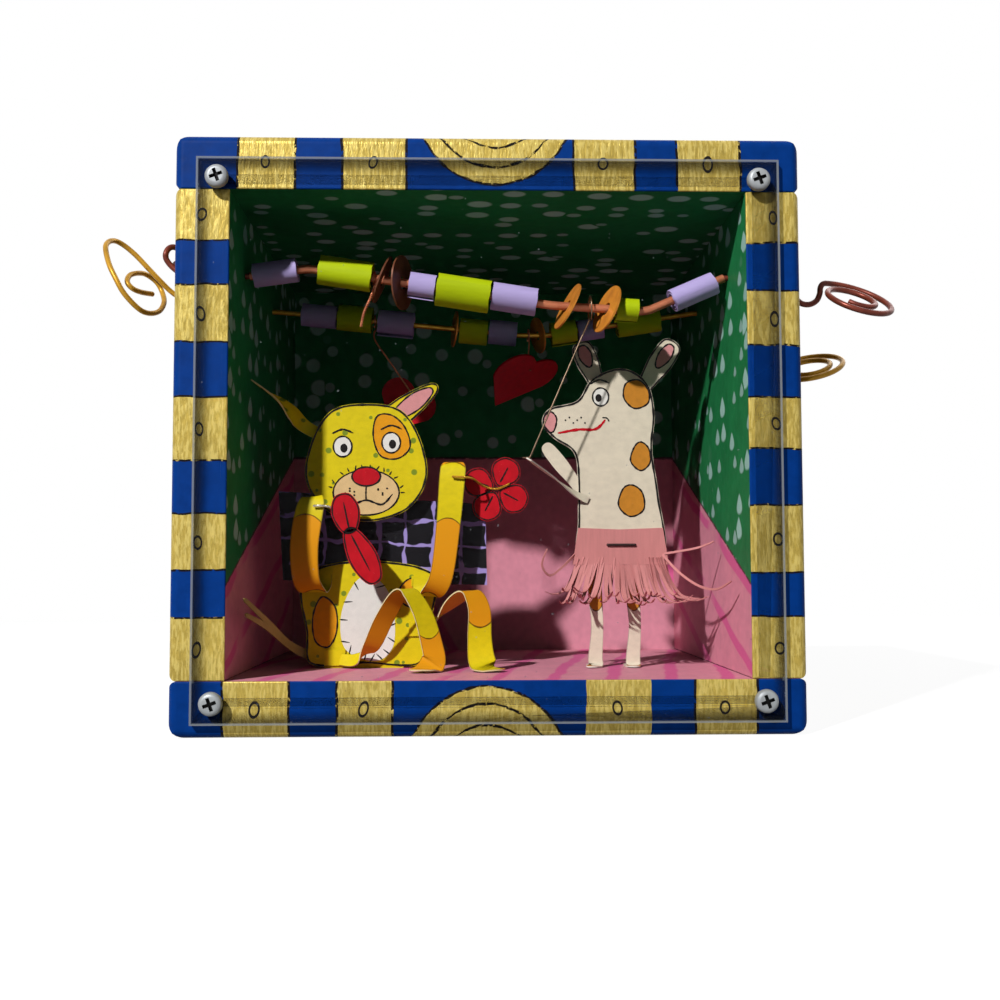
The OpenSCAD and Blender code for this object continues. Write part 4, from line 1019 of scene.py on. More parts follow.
def chain(paths):
    """A mesh of bare edges along one or more paths."""
    points = []
    edges = []
    for path in paths:
        edges += [(len(points) + i, len(points) + i + 1) for i in range(len(path) - 1)]
        points += [Vector(p) * MM for p in path]
    mesh = bpy.data.meshes.new("chain")
    mesh.from_pydata(points, edges, [])
    return mesh


TREES = {}
TWIST_STEP = 0.22


def wire_piece(name, paths, diameter, material, body, replaces=(), sides=16):
    """Round wires along paths, as one piece."""
    mesh = grown(name, chain(paths), TREES["wire"], Radius=diameter / 2 * MM, Sides=sides,
                 Material=MATERIALS[material])
    return make_piece(name, mesh, body, replaces)


def twisted_piece(name, paths, diameter, pitch, material, body, replaces=()):
    """Twisted pairs of wire along paths, as one piece no thicker than the diameter."""
    mesh = grown(name, chain(paths), TREES["twisted"], Radius=diameter / 4 * MM, Pitch=pitch * MM,
                 Step=TWIST_STEP * MM, Sides=8, Material=MATERIALS[material])
    return make_piece(name, mesh, body, replaces)


def clad(node, material):
    """Gives a CAD node its finish."""
    slots = frame["nodes"][node].data.materials
    slots.clear()
    slots.append(MATERIALS[material])


def ring_path(at, radius, count=28):
    """A full circle round a rod, from its lowest point and back beside it."""
    turns = (2 * math.pi * k / count for k in range(count + 1))
    return [at + Vector((0.3 * WIRE_D * (a / math.pi - 1), radius * math.sin(a), -radius * math.cos(a)))
            for a in turns]


def spiral(start, heading, side, r_out, r_in, turns, per_turn=48):
    """A flat spiral that leaves a point along its heading and winds in."""
    count = math.ceil(turns * per_turn)
    points = []
    for i in range(count + 1):
        a = 2 * math.pi * turns * i / count
        r = r_out + (r_in - r_out) * i / count
        points.append(start + side * (r_out - r * math.cos(a)) + heading * r * math.sin(a))
    return points


def wound_end(side, axis, stem, curl=None):
    """A rod's end outside the boards: points from the journal outwards, then a spiral if it is wound."""
    out = [Vector((side * (BOX_SIDE + JOURNAL_OUT + p[0]), axis.y + p[1], axis.z + p[2])) for p in stem]
    path = smooth_path(out, 6)
    if curl:
        heading, turn_to, r_out, r_in, turns = curl
        ahead, aside = (Vector(way).normalized() for way in (heading, turn_to))
        path += spiral(out[-1], ahead, aside, r_out, r_in, turns)[1:]
    return path


def eased(points, cut):
    """A path whose corners are rounded off."""
    path = [points[0]]
    for a, b, c in zip(points, points[1:], points[2:]):
        p = b + (a - b).normalized() * cut
        q = b + (c - b).normalized() * cut
        path += [(1 - t) ** 2 * p + 2 * t * (1 - t) * b + t * t * q for t in (k / 6 for k in range(7))]
    return path + [points[-1]]


# Bends of the rods between the walls: place along the box and rise from the axis
COPPER_BENDS = ((-66, 3), (23.25, -10.4), (58.5, -12.6))
BRASS_BENDS = ((14.6, -9.6), (25.2, -9.6))
COPPER_CUT = 2.4
BRASS_CUT = 1.4
# Ends of the rods: points from the journal outwards, then the spiral's heading, side, radii and turns
COPPER_ENDS = (
    (((0, 0, 0), (1.4, 0, 0.1), (3.6, 0, 1.2), (6.6, 0, 3.6), (8.4, -0.3, 6), (8.7, -0.6, 7.6)),
     ((0, 0, 1), (0.6, 0.8, 0), 4.6, 2.2, 0.8)),
    (((0, 0, 0), (1.4, 0, -0.3), (3, 0, -2.2), (4.4, 0, -6.4), (6.8, 0, -9.2), (10, 0, -9.7),
      (12.8, 0.3, -8.2), (14.1, 0.5, -5.6), (14.5, 0.9, -3.3), (15.4, 1.4, -1.8), (16.73, 2, -1.22)),
     ((0.844, 0.521, 0.131), (0.498, -0.669, -0.552), 15.6, 5.4, 1.7)))
BRASS_ENDS = (
    (((0, 0, 0), (1.4, 0, 0), (4, 0, 0.2), (8, -0.2, 0.9), (14, -0.8, 3.4), (20.6, -2.2, 7.4),
      (25.3, -4.4, 11.9), (29.9, -6, 16.8), (34.9, -6.8, 22.1), (39.4, -8.2, 25.8), (42.2, -11, 26.8),
      (43.5, -15.3, 25.1),
      (43.2, -19.8, 21.4), (40.4, -24.3, 13.9), (37.2, -26.3, 7.8), (33.6, -26.2, 1.4), (28.5, -23.4, -4.1),
      (25.7, -17.8, -4.6), (24, -9.9, -1.9), (24.1, -2.4, 3.4), (25.9, 1.4, 8.5), (28, 1.4, 12.4),
      (30.7, -0.6, 14.7), (32.9, -4.4, 15.1), (34.9, -11.5, 12.9), (35.4, -15.6, 10.2), (34.6, -18, 7.4),
      (32.6, -17.2, 5.4), (30.6, -12.6, 5.2), (28, -6, 6)),),
    (((0, 0, 0), (1.4, 0, -0.3), (3, 0, -2.4), (4.2, 0, -9), (7.2, 0.6, -16), (13, 1.2, -19.8),
      (19, 0.9, -20.2), (24.4, -0.07, -19.1)),
     ((0.96, -0.203, 0.195), (-0.098, -0.89, -0.445), 15, 6.5, 1.7)))


def rod_corners(axis, bends):
    """Corners of a rod between the walls."""
    inner = WALL - JOURNAL_OUT
    return ([Vector((-inner, axis.y, axis.z))] + [Vector((x, axis.y, axis.z + rise)) for x, rise in bends]
            + [Vector((inner, axis.y, axis.z))])


def rod_path(axis, bends, cut, ends):
    """The whole rod, from the middle of its left spiral to the middle of its right one."""
    left = wound_end(-1, axis, *ends[0])
    right = wound_end(1, axis, *ends[1])
    return left[::-1] + eased(rod_corners(axis, bends), cut) + right


def rod_at(axis, bends, x):
    """Height of a rod at a place along the box, and its slope there."""
    corners = rod_corners(axis, bends)
    for a, b in zip(corners, corners[1:]):
        if a.x <= x <= b.x:
            slope = (b.z - a.z) / (b.x - a.x)
            return a.z + slope * (x - a.x), slope
    return axis.z, 0.0


PAPER = 0.4
BEAD_GAP = 0.1


def rolled_bead(node, axis, bends, rod_d, material, body, seed, turns):
    """A strip of paper rolled round the rod, its loose edge standing off a little."""
    low, high = span(node)
    middle = (low + high) / 2
    slope = rod_at(axis, bends, middle.x)[1]
    lean = math.atan(slope)
    diameter = high.y - low.y
    length = (high.x - low.x - diameter * abs(math.sin(lean))) / math.cos(lean)
    way = Vector((math.cos(lean), 0, math.sin(lean)))
    up = Vector((-math.sin(lean), 0, math.cos(lean)))
    across = Vector((0, 1, 0))
    steps = int(turns * 40)
    start = 1.9 * seed
    shape = Shape()
    points = []
    for i in range(steps + 1):
        share = i / steps
        angle = start + 2 * math.pi * turns * share
        core = rod_d / 2 + BEAD_GAP
        radius = core + (diameter / 2 - PAPER - core) * share ** 0.8
        flat = 1 - 0.07 * math.cos(2 * angle + seed)
        ray = (up * math.cos(angle) + across * math.sin(angle)) * flat
        half = length / 2 * (1 - 0.015 * math.sin(5 * angle))
        for r in (radius, radius + PAPER):
            for end in (-half, half):
                points.append(middle + ray * min(r, diameter / 2) + way * end)
    shape.add(points, [])
    for i in range(steps):
        a, b = 4 * i, 4 * (i + 1)
        shape.faces += [[b, b + 1, a + 1, a], [a + 3, b + 3, b + 2, a + 2], [a + 2, b + 2, b, a],
                        [b + 1, b + 3, a + 3, a + 1]]
        shape.marks += [0, 0, 0, 0]
    end = 4 * steps
    shape.faces += [[1, 3, 2, 0], [end + 2, end + 3, end + 1, end]]
    shape.marks += [0, 0]
    return shape.piece(node + "_roll", [material], body, material + "_paper", [node], 50)


# Hearts on the brass rod: shift and drop of the hole from the ring, and the side that the wire comes to
HEARTS = {"left": (15.5, 30.8, (0, -1, 0)), "right": (0.5, 14.2, (-0.404, 0.397, 0.824))}


def hung_heart(side):
    """A heart's wire: a ring on the brass rod, a straight drop, a knee and a pin through the heart."""
    shift, drop, face = HEARTS[side]
    at = JOINT[side + "_heart_swing"]
    ahead = Vector(face) * PIN_REACH
    hole = at + Vector((shift, 0, -drop))
    knee = at + Vector((0, -1.5 * SHEET, -HEART_KNEE))
    ring = ring_path(at, (HEART_RING + RING_STOCK) / 2)
    near = hole + ahead + (knee - hole).normalized() * 1.2
    drop_from = ring[-1] + Vector((0, -0.4, -1))
    path = ring + smooth_path([drop_from, knee, knee.lerp(near, 0.5), near, hole + ahead * 0.8])
    path.append(hole - ahead * 0.6)
    wire_piece(f"{side}_heart_hook", [path], 0.8 * WIRE_D, "copper", f"{side}_heart_hung",
               [f"{side}_heart_wire"], 12)
    clad(f"{side}_heart", "red")


def stripe_middles():
    """Middles of the gold stripes on the front, as points of the front face."""
    side_x = (WALL + BOX_SIDE) / 2
    spots = []
    for stripes, z in ((TOP_STRIPES, (CEILING + BOX_TOP) / 2), (BOTTOM_STRIPES, FLOOR / 2)):
        spots += [((a + b) / 2, z) for a, b in zip(stripes[1::2], stripes[2::2])]
    for stripes, x in ((LEFT_STRIPES, -side_x), (RIGHT_STRIPES, side_x)):
        spots += [(x, (a + b) / 2) for a, b in zip(stripes[::2], stripes[1::2])]
    return spots


MARK_R = 1.9
MARK_PEN = 0.4
BOX_FINISHES = {
    "top_board": "top", "bottom_board": "bottom", "left_board": "left", "right_board": "right",
    "back_panel": "panel", "brads": "brad", "sawtooth_hanger": "gilt", "hanger_nails": "brad",
    "floor_tacks": "brad"}


class SHADOW_BOX_OT_box(bpy.types.Operator):
    """Paint the boards and the back, and draw the ring marks on the gold stripes"""

    bl_idname = "shadow_box.box"
    bl_label = "Box"

    def execute(self, context):
        for node, material in BOX_FINISHES.items():
            clad(node, material)
        spots = bpy.data.meshes.new("spots")
        spots.from_pydata([Vector((x, FRONT - 0.02, z)) * MM for x, z in stripe_middles()], [], [])
        mesh = grown("stripe_marks", spots, TREES["marks"], Radius=MARK_R * MM, Pen=MARK_PEN * MM,
                     Material=MATERIALS["ink"])
        make_piece("stripe_marks", mesh, "box")
        return {"FINISHED"}


class SHADOW_BOX_OT_front(bpy.types.Operator):
    """Finish the clear plate and its screws"""

    bl_idname = "shadow_box.front"
    bl_label = "Clear front"

    def execute(self, context):
        clad("cover_plate", "acrylic")
        clad("cover_screws", "screw")
        return {"FINISHED"}


# The two discs whose seen faces turn from the light, painted in a darker copper as shade
SHADED_DISCS = ("copper_disc_1", "copper_disc_2")
PIGTAIL_D = 1.1
PIGTAIL_DROP = ((-1.2, -1.7, -7.4), (-3.4, -3.3, -13.2), (-4.4, -4.9, -18.8))


class SHADOW_BOX_OT_garlands(bpy.types.Operator):
    """Make both bent rods, their rolled beads, discs, hearts and wires"""

    bl_idname = "shadow_box.garlands"
    bl_label = "Garlands"

    def execute(self, context):
        turns = settings()[1].turns
        copper, brass = JOINT["copper_turn"], JOINT["brass_turn"]
        # The rod's ends outside the box take a darker copper, as painted shade
        wire_piece("copper_rod_wire", [rod_path(copper, COPPER_BENDS, COPPER_CUT, COPPER_ENDS)], COPPER_D,
                   "aged_copper", "copper_garland", ["copper_rod"], 20)
        wire_piece("copper_rod_middle", [eased(rod_corners(copper, COPPER_BENDS), COPPER_CUT)], COPPER_MID_D,
                   "copper", "copper_garland", (), 20)
        wire_piece("brass_rod_wire", [rod_path(brass, BRASS_BENDS, BRASS_CUT, BRASS_ENDS)], BRASS_D, "brass",
                   "brass_garland", ["brass_rod"], 20)
        for name, axis, bends, rod_d, count in (("copper", copper, COPPER_BENDS, COPPER_MID_D, 7),
                                                ("brass", brass, BRASS_BENDS, BRASS_D, 8)):
            for k in range(1, count + 1):
                rolled_bead(f"{name}_bead_{k}", axis, bends, rod_d, "lavender" if k % 2 else "lime",
                            f"{name}_garland", k, turns)
        for node in frame["nodes"]:
            if "_disc_" in node:
                # The left two discs take the copper with painted shade, the others the lit orange copper
                clad(node, "shaded_disc" if node in SHADED_DISCS else "disc")
        top = Vector((PIGTAIL_X, copper.y, rod_at(copper, COPPER_BENDS, PIGTAIL_X)[0]))
        hook = ring_path(top, (COPPER_MID_D + PIGTAIL_D) / 2)
        tail = [hook[-1]] + [top + Vector(p) for p in PIGTAIL_DROP]
        twisted_piece("copper_pigtail_twist", [hook + smooth_path(tail)[1:]], PIGTAIL_D, 2 * PIGTAIL_D,
                      "copper", "copper_garland", ["copper_pigtail"])
        for side in HEARTS:
            hung_heart(side)
        return {"FINISHED"}


HEAD = ((0, 22.5), (-13, 20), (-20.5, 9), (-23, -6), (-15.5, -18), (0, -22.5), (15.5, -18), (23, -6),
        (20.5, 9), (13, 20))
HEAD_MIDDLE = Vector((1, 78))
SEATED_BODY = ((-20, 1.4), (-22, 14), (-24.5, 29), (-20, 37), (-7, 40.5), (8, 40.5), (22, 38), (28, 32),
               (24.5, 15), (21, 1.4), (0, 1.6))
# Bent strips: each row is a point, the direction of the strip's width, and the width
LEFT_ARM = (
    (-16.4, -1.4, 36, 1, 0, 0, 8), (-16.8, -2, 32, 1, 0, 0, 9), (-18.6, -6, 29.4, 1, 0, 0, 10),
    (-20.8, -11, 34, 1, 0, 0, 10), (-21.2, -13.5, 46, 1, 0, 0.1, 10.4), (-19.6, -13.5, 58, 1, 0, 0.1, 10.4),
    (-18, -12, 63.8, 1, 0, 0.2, 9), (-17.6, -9.6, 64.4, 1, 0, 0.2, 6))
RIGHT_ARM = (
    (22, -1.4, 34, 1, 0, 0, 7), (22.6, -2, 30, 1, 0, 0, 8), (25.4, -6, 28, 1, 0, 0, 8.5),
    (29.6, -10.4, 35, 1, 0, 0, 8.5), (32.2, -12, 54, 1, 0, 0, 9), (33.6, -11.4, 71, 1, 0, 0, 9.6),
    (34.2, -9.4, 77, 1, 0, 0, 9), (34.2, -6.8, 77.4, 1, 0, 0, 6))
LEFT_LEG = (
    (-9, -1.4, 3.4, 0, 0.2, 1, 4.4), (-3, -4.5, 3.4, 0.2, 0.5, 1, 5), (3, -8.5, 8, 0.9, 0.5, 0, 7),
    (9, -12, 20, 0.9, 0.5, 0, 8), (16, -14.5, 29.6, 0.7, 0.7, 0, 8.4), (22.5, -16.5, 22, 0.8, 0.6, 0, 8.4),
    (26.5, -18, 9, 0.9, 0.4, 0, 8.4), (27, -20, 3.8, 0.9, 0.4, 0, 9), (23.5, -23, 1.7, 0.8, -0.5, 0, 10),
    (18.5, -25.5, 1.2, 0.5, -0.8, 0, 5))
RIGHT_LEG = (
    (22, -1.9, 15, 0.3, 0, 1, 4.6), (27, -5.2, 17.6, 0.5, 0.5, 0.8, 6), (34, -10, 25, 0.8, 0.6, 0, 8),
    (40, -14.4, 29, 0.8, 0.6, 0, 8.6), (43.6, -16.4, 23, 0.9, 0.4, 0, 8.8), (43.8, -17.4, 12, 1, 0.2, 0, 9),
    (44.6, -18.6, 4, 1, 0.1, 0, 10), (47, -20.4, 1.2, 0.7, 0.7, 0, 10.6), (53, -22, 1, 0.3, 0.9, 0, 6))
# Step that keeps two surfaces in one place from lying in each other
LAP = 0.06
EAR_TIP = -WALL + 5 - SEATED.x
TAIL_TIP = -WALL + 4.6 - SEATED.x
LEFT_EAR = (
    (-12, -4.6, 86.5, 0.5, 0, 0.87, 4.5), (-22, -4.6, 91.5, 0.5, 0.2, 0.8, 5),
    (-26.5, -12, 96, 0.3, 0.9, 0.2, 7), (-31.5, -26, 100.5, 0, 1, 0, 6), (EAR_TIP, -37, 104.5, 0, 1, 0, 2))
BOW = Vector((-3, -16, 53))
FLOWER = Vector((50.5, -1.2, 68))
PETALS = (160, 62, -28, -118)


def flat(points, at):
    """Outline points moved to a figure's place."""
    return [Vector((at.x, at.z)) + Vector(p) for p in points]


def seated_face(outline):
    """A plain friendly dog's face, seen from the front."""
    face = Painting(HEAD_Y - SHEET, SEATED)
    face.line(drawn_in(outline, 0.5), 0.7, closed=True)
    patch = ((5, 95.5), (3.6, 88), (6.4, 80.5), (13, 79.5), (17.6, 84), (15.5, 91.5), (10.5, 96))
    face.edged(smooth_loop(patch), "orange")
    face.edged(oval(1, 66.5, 12.5, 8.6), "sand")
    for x, z in ((-8, 84), (10.4, 85.5)):
        face.edged(oval(x, z, 3.5, 3.9), "white", 3)
        face.fill(oval(x + 0.5, z - 0.6, 1.35, 1.7), "ink", 5)
        face.line(smooth_path([(x - 4, z + 5), (x, z + 6.6), (x + 4, z + 5.2)]), 0.6, lift=5)
    face.edged(oval(1, 72.6, 5.4, 3.6), "red", 3)
    face.line(smooth_path([(1, 69), (0.9, 66), (1, 63.6)]), 0.6)
    face.line(smooth_path([(-9, 66), (-5, 62), (1, 63.6), (7, 62), (11, 66)]), 0.75)
    for k in range(10):
        side = 1 if k % 2 else -1
        dot_x = 1 + side * (4.5 + 1.7 * (k // 4))
        face.fill(oval(dot_x, 66.8 + 1.3 * math.sin(2.3 * k), 0.4, 0.4, 0, 8), "ink", 3)
    face.ticks(oval(1, 66.5, 13.4, 9.5), 13, 0.03, 0.47, 1.6)
    face.finish("seated_face_paint", "box", "yellow_sheet")


def seated_belly(outline):
    """Pale belly with pen ticks, and two orange patches on the seated body."""
    front = Painting(SEATED.y - SHEET, SEATED)
    front.line(drawn_in(outline, 0.5), 0.7, closed=True)
    for patch in (((-16, 27), (-19.4, 20), (-18.6, 10.5), (-13.6, 8), (-10.4, 14), (-11, 23)),
                  ((14, 31), (13.4, 26), (18, 23), (22.6, 26), (22.4, 32), (18, 34))):
        front.edged(smooth_loop(patch), "orange")
    belly = smooth_loop([(1, 3), (-7.6, 8), (-8.6, 21), (-3, 33), (4, 34.4), (10.4, 26), (11.6, 11), (8, 4)])
    front.fill(belly, "white", 2)
    front.ticks(belly, 15, 0.02, 0.98, 3.2)
    front.finish("seated_body_paint", "box", "yellow_sheet")


def veined(name, leaves, back):
    """Leaves of red sheet, each with a drawn outline and a vein."""
    shape = Shape()
    paint = Painting(back - SHEET, Vector((0, 0, 0)))
    for outline, vein in leaves:
        shape.sheet(outline, back)
        paint.line(drawn_in(outline, 0.5), 0.5, closed=True)
        paint.line(vein, 0.6)
    shape.piece(f"{name}_sheet", ["red", "red"], "box", "red_sheet", [name])
    paint.finish(f"{name}_veins", "box", "red_sheet")


def red_shapes():
    """Bow and flower of red sheet."""
    middle = Vector((SEATED.x + BOW.x, SEATED.z + BOW.z))
    leaves = []
    for base, tip in (((-1, -2), (-4, 12)), ((-1.5, -1), (8.5, -20))):
        outline = leaf(middle + Vector(base), middle + Vector(tip), (2.2, 4.8, 5.2, 2.6))
        leaves.append((outline, [middle + Vector(base).lerp(Vector(tip), k / 10) for k in range(1, 9)]))
    veined("red_bow", leaves, SEATED.y + BOW.y)
    middle = Vector((SEATED.x + FLOWER.x, SEATED.z + FLOWER.z))
    leaves = []
    for angle in PETALS:
        ray = Vector((math.cos(math.radians(angle)), math.sin(math.radians(angle))))
        outline = leaf(middle + 1.6 * ray, middle + 12.6 * ray, (1.4, 5, 5.6, 2.6))
        leaves.append((outline, [middle + ray * (3 + 0.8 * k) for k in range(9)]))
    veined("red_flower", leaves, SEATED.y + FLOWER.y)


def cut_sheet(name, outline, at, back, coat, slot, node):
    """A piece of one flat sheet."""
    shape = Shape()
    shape.sheet(flat(outline, at), back)
    shape.piece(name, coat, "box", slot, [node])


class SHADOW_BOX_OT_seated_dog(bpy.types.Operator):
    """Make the seated dog, its check panel, bow and flower"""

    bl_idname = "shadow_box.seated_dog"
    bl_label = "Seated dog"

    def execute(self, context):
        head = [p + HEAD_MIDDLE for p in smooth_loop(HEAD)]
        body = smooth_loop(SEATED_BODY)
        cut_sheet("seated_head_sheet", head, SEATED, HEAD_Y, YELLOW_COAT, "yellow_sheet", "seated_head")
        shape = Shape()
        shape.sheet(flat(body, SEATED), SEATED.y)
        shape.block(SEATED + Vector((-15, 0, 0)), SEATED + Vector((15, 8, SHEET)))
        shape.block(SEATED + Vector((-15, LAP - SHEET, 0)), SEATED + Vector((15, -LAP, 3)))
        shape.piece("seated_body_sheet", YELLOW_COAT, "box", "yellow_sheet", ["seated_body"])
        seated_face(head)
        seated_belly(body)
        clad("seated_neck_tab", "yellow")
        clad("check_panel", "check")
        for name, rows, low, high in (
                ("left_arm", LEFT_ARM, (-20, -2 * SHEET, 33), (-12, -SHEET, 37)),
                ("right_arm", RIGHT_ARM, (18, -2 * SHEET, 31), (25, -SHEET, 35)),
                ("left_leg", LEFT_LEG, (-15, -2 * SHEET, 1), (-7, -SHEET, 7)),
                ("right_leg", RIGHT_LEG, (17, -2 * SHEET, 12), (24, -SHEET, 18))):
            limb = Shape()
            limb.block(SEATED + Vector(low), SEATED + Vector(high))
            limb.strip(rows, SEATED)
            limb.piece(f"seated_{name}_strip", ["yellow_limb", "edge"], "box", "yellow_sheet",
                       [f"seated_{name}"])
        ear = leaf((3, 89), (27, 107), (3, 5, 4.6, 2))
        ears = Shape()
        ears.sheet(flat(ear, SEATED), HEAD_Y + SHEET)
        ears.block(SEATED + Vector((-16, -5, 84)), SEATED + Vector((-8, SHEET - 5, 89)))
        ears.strip(LEFT_EAR, SEATED)
        ears.piece("seated_ear_sheets", YELLOW_COAT, "box", "yellow_sheet", ["seated_ears"])
        inside = Painting(HEAD_Y, SEATED)
        inside.line(drawn_in(ear, 0.4), 0.6, closed=True)
        inside.edged(leaf((12, 95.8), (25.4, 105.8), (1.6, 3, 3, 1.2)), "blush")
        inside.finish("seated_ear_paint", "box", "yellow_sheet")
        tail = Shape()
        tail.block(SEATED + Vector((-19, 0, 2)), SEATED + Vector((-13, SHEET, 7)))
        for fork, rise, reach in ((0, 27.5, -45), (1, 22, -42)):
            behind, under = 0.4 + LAP * fork, 0.5 * fork
            tail.strip(((-16, behind, 4.2 - under, 0.2, 0, 1, 3.2),
                        (-23.5, behind, 6.2 - under, 0.2, 0, 1, 3),
                        (-28.5, -7, 10.4 - under, 0.3, 0.5, 0.8, 2.6),
                        (-32.5, -25, 18.6 - 2 * fork, 0.3, 0.7, 0.6, 2.2),
                        (TAIL_TIP, reach, rise, 0.3, 0.7, 0.6, 1.4)), SEATED)
        tail.piece("seated_tail_strips", ["straw", "straw"], "box", "yellow_sheet", ["seated_tail"])
        red_shapes()
        behind = WIRE_D / 2 + 0.15
        before = -SHEET - behind
        bow, flower = SEATED + BOW, SEATED + FLOWER
        left = smooth_path([SEATED + Vector((-17.8, -14.8, 61)), SEATED + Vector((-12, -15, 60.6)),
                            bow + Vector((-3.4, behind, 4)), bow + Vector((-1.4, behind, -3)),
                            bow + Vector((1, behind, -6))])
        right = smooth_path([SEATED + Vector((33.6, -12.8, 72)), SEATED + Vector((40.8, -12.2, 71.4)),
                             flower + Vector((-5, 2 * before, 1)), flower + Vector((0, before, 0)),
                             flower + Vector((5, before, 2))])
        twisted_piece("bow_wire_twist", [left], WIRE_D, 2.0, "silver", "box", ["hand_wires"])
        twisted_piece("flower_wire_twist", [right], WIRE_D, 2.0, "brass", "box")
        return {"FINISHED"}


STANDING_BODY = ((-15, 42), (-15.4, 56), (-15.4, 72), (-17, 82), (-24.5, 87.4), (-29, 93.4), (-26, 99),
                 (-15.5, 102), (-9.5, 110.5), (2, 114.6), (11.5, 109), (14.4, 97), (13.4, 83), (15.6, 66),
                 (17.6, 42), (1, 41))
STANDING_PATCHES = (
    ("blush", ((-28, 91.6), (-28.3, 95.4), (-25.6, 97.6), (-23.4, 95), (-24.4, 90.4), (-26.4, 89.8))),
    ("tan", ((3.4, 108.6), (2.6, 103), (6.6, 99), (11.8, 101), (12, 106), (8.4, 110))),
    ("tan", ((2, 68), (0.2, 61.6), (4.6, 57.4), (9.8, 60), (9.4, 66.4), (5.6, 69.4))),
    ("tan", ((6.4, 84), (5, 78.6), (8.8, 75), (12.4, 78), (12, 83.4), (9, 86))))
STANDING_EARS = (((-6, 105), (-14, 124), (2.4, 3.4, 4.4, 3.2)),
                 ((8, 104), (22, 124.5), (2.4, 3.6, 4.8, 3.4)))
SKIRT = ((-15.4, 53), (0, 52.4), (17, 53), (19.2, 39), (-17.6, 39))
SKIRT_LOW = 39
SKIRT_HALF = 17.6
FRINGE_LEAN = 0.36
FRINGE_TIP = WALL - 4 - STANDING.x
LOOSE_STRANDS = (
    ((-16.6, -1.2, 43, 0.4, 0, 1, 0.9), (-22, -6, 38, 0, 0.4, 1, 0.8), (-27, -11, 35, 0, 0.4, 1, 0.8),
     (-30, -13, 39, 1, 0.4, 0, 0.7), (-28, -13, 45, 1, 0.4, 0, 0.5)),
    ((16.6, -1.2, 43, 0.4, 0, 1, 0.9), (22, -7, 36, 0, 0.5, 1, 0.9), (28, -15, 31, 0, 0.5, 1, 0.9),
     (32, -27, 30, 0, 0.5, 1, 0.8), (FRINGE_TIP, -38, 33, 0, 0.5, 1, 0.5)),
    ((16.6, -1.2, 43, 0.4, 0, 1, 0.9), (23, -3, 44, 0, 0.3, 1, 0.8), (30, -5, 45.4, 0, 0.3, 1, 0.8),
     (FRINGE_TIP, -9, 47.6, 0, 0.3, 1, 0.5)))
LEG_W = 5.4
LEGS = ((-9, -1), (5.4, 0))
LUG = Vector((-36, -19, 78.2))


def standing_marks(body):
    """A plain dog's face in profile, patches, and the outline of the standing body."""
    front = Painting(STANDING.y - SHEET, STANDING)
    front.line(drawn_in(body, 0.5), 0.7, closed=True)
    for paint, patch in STANDING_PATCHES:
        front.edged(smooth_loop(patch), paint)
    front.edged(oval(-6.4, 103.4, 3.1, 3.5), "white", 1)
    front.fill(oval(-7.2, 103, 1.2, 1.5), "ink", 3)
    front.line(smooth_path([(-10.4, 108.4), (-6.8, 110), (-3, 108.8)]), 0.6)
    front.line(smooth_path([(-23, 89.4), (-15, 90.8), (-8.4, 91), (-4.6, 94.6)]), 1.0, "red", 3)
    front.line(smooth_path([(-5.8, 95.4), (-4, 95.2), (-3.2, 93.8)]), 0.5)
    for k in range(6):
        front.fill(oval(-20 + 1.5 * k, 94.4 + 1.2 * math.sin(2.1 * k), 0.35, 0.35, 0, 8), "ink", 3)
    front.finish("standing_body_paint", "box", "cream_sheet")


def fringe_strand():
    """One strand of the fringe, from its root at the origin: down, then curling forward at the tip."""
    shape = Shape()
    shape.strip(((0, 0, 3, 1, 0, 0, 1.3), (0, -0.3, -3, 1, 0, 0, 1.3), (0, -0.9, -9, 1, 0, 0, 1.2),
                 (0, -3, -13.6, 1, 0, 0, 1.1), (0, -7, -15, 1, 0, 0, 0.9), (0, -10.6, -14, 1, 0, 0, 0.5)),
                Vector(), 0.3, 4)
    return shape.mesh("fringe_strand", ["skirt", "skirt"])


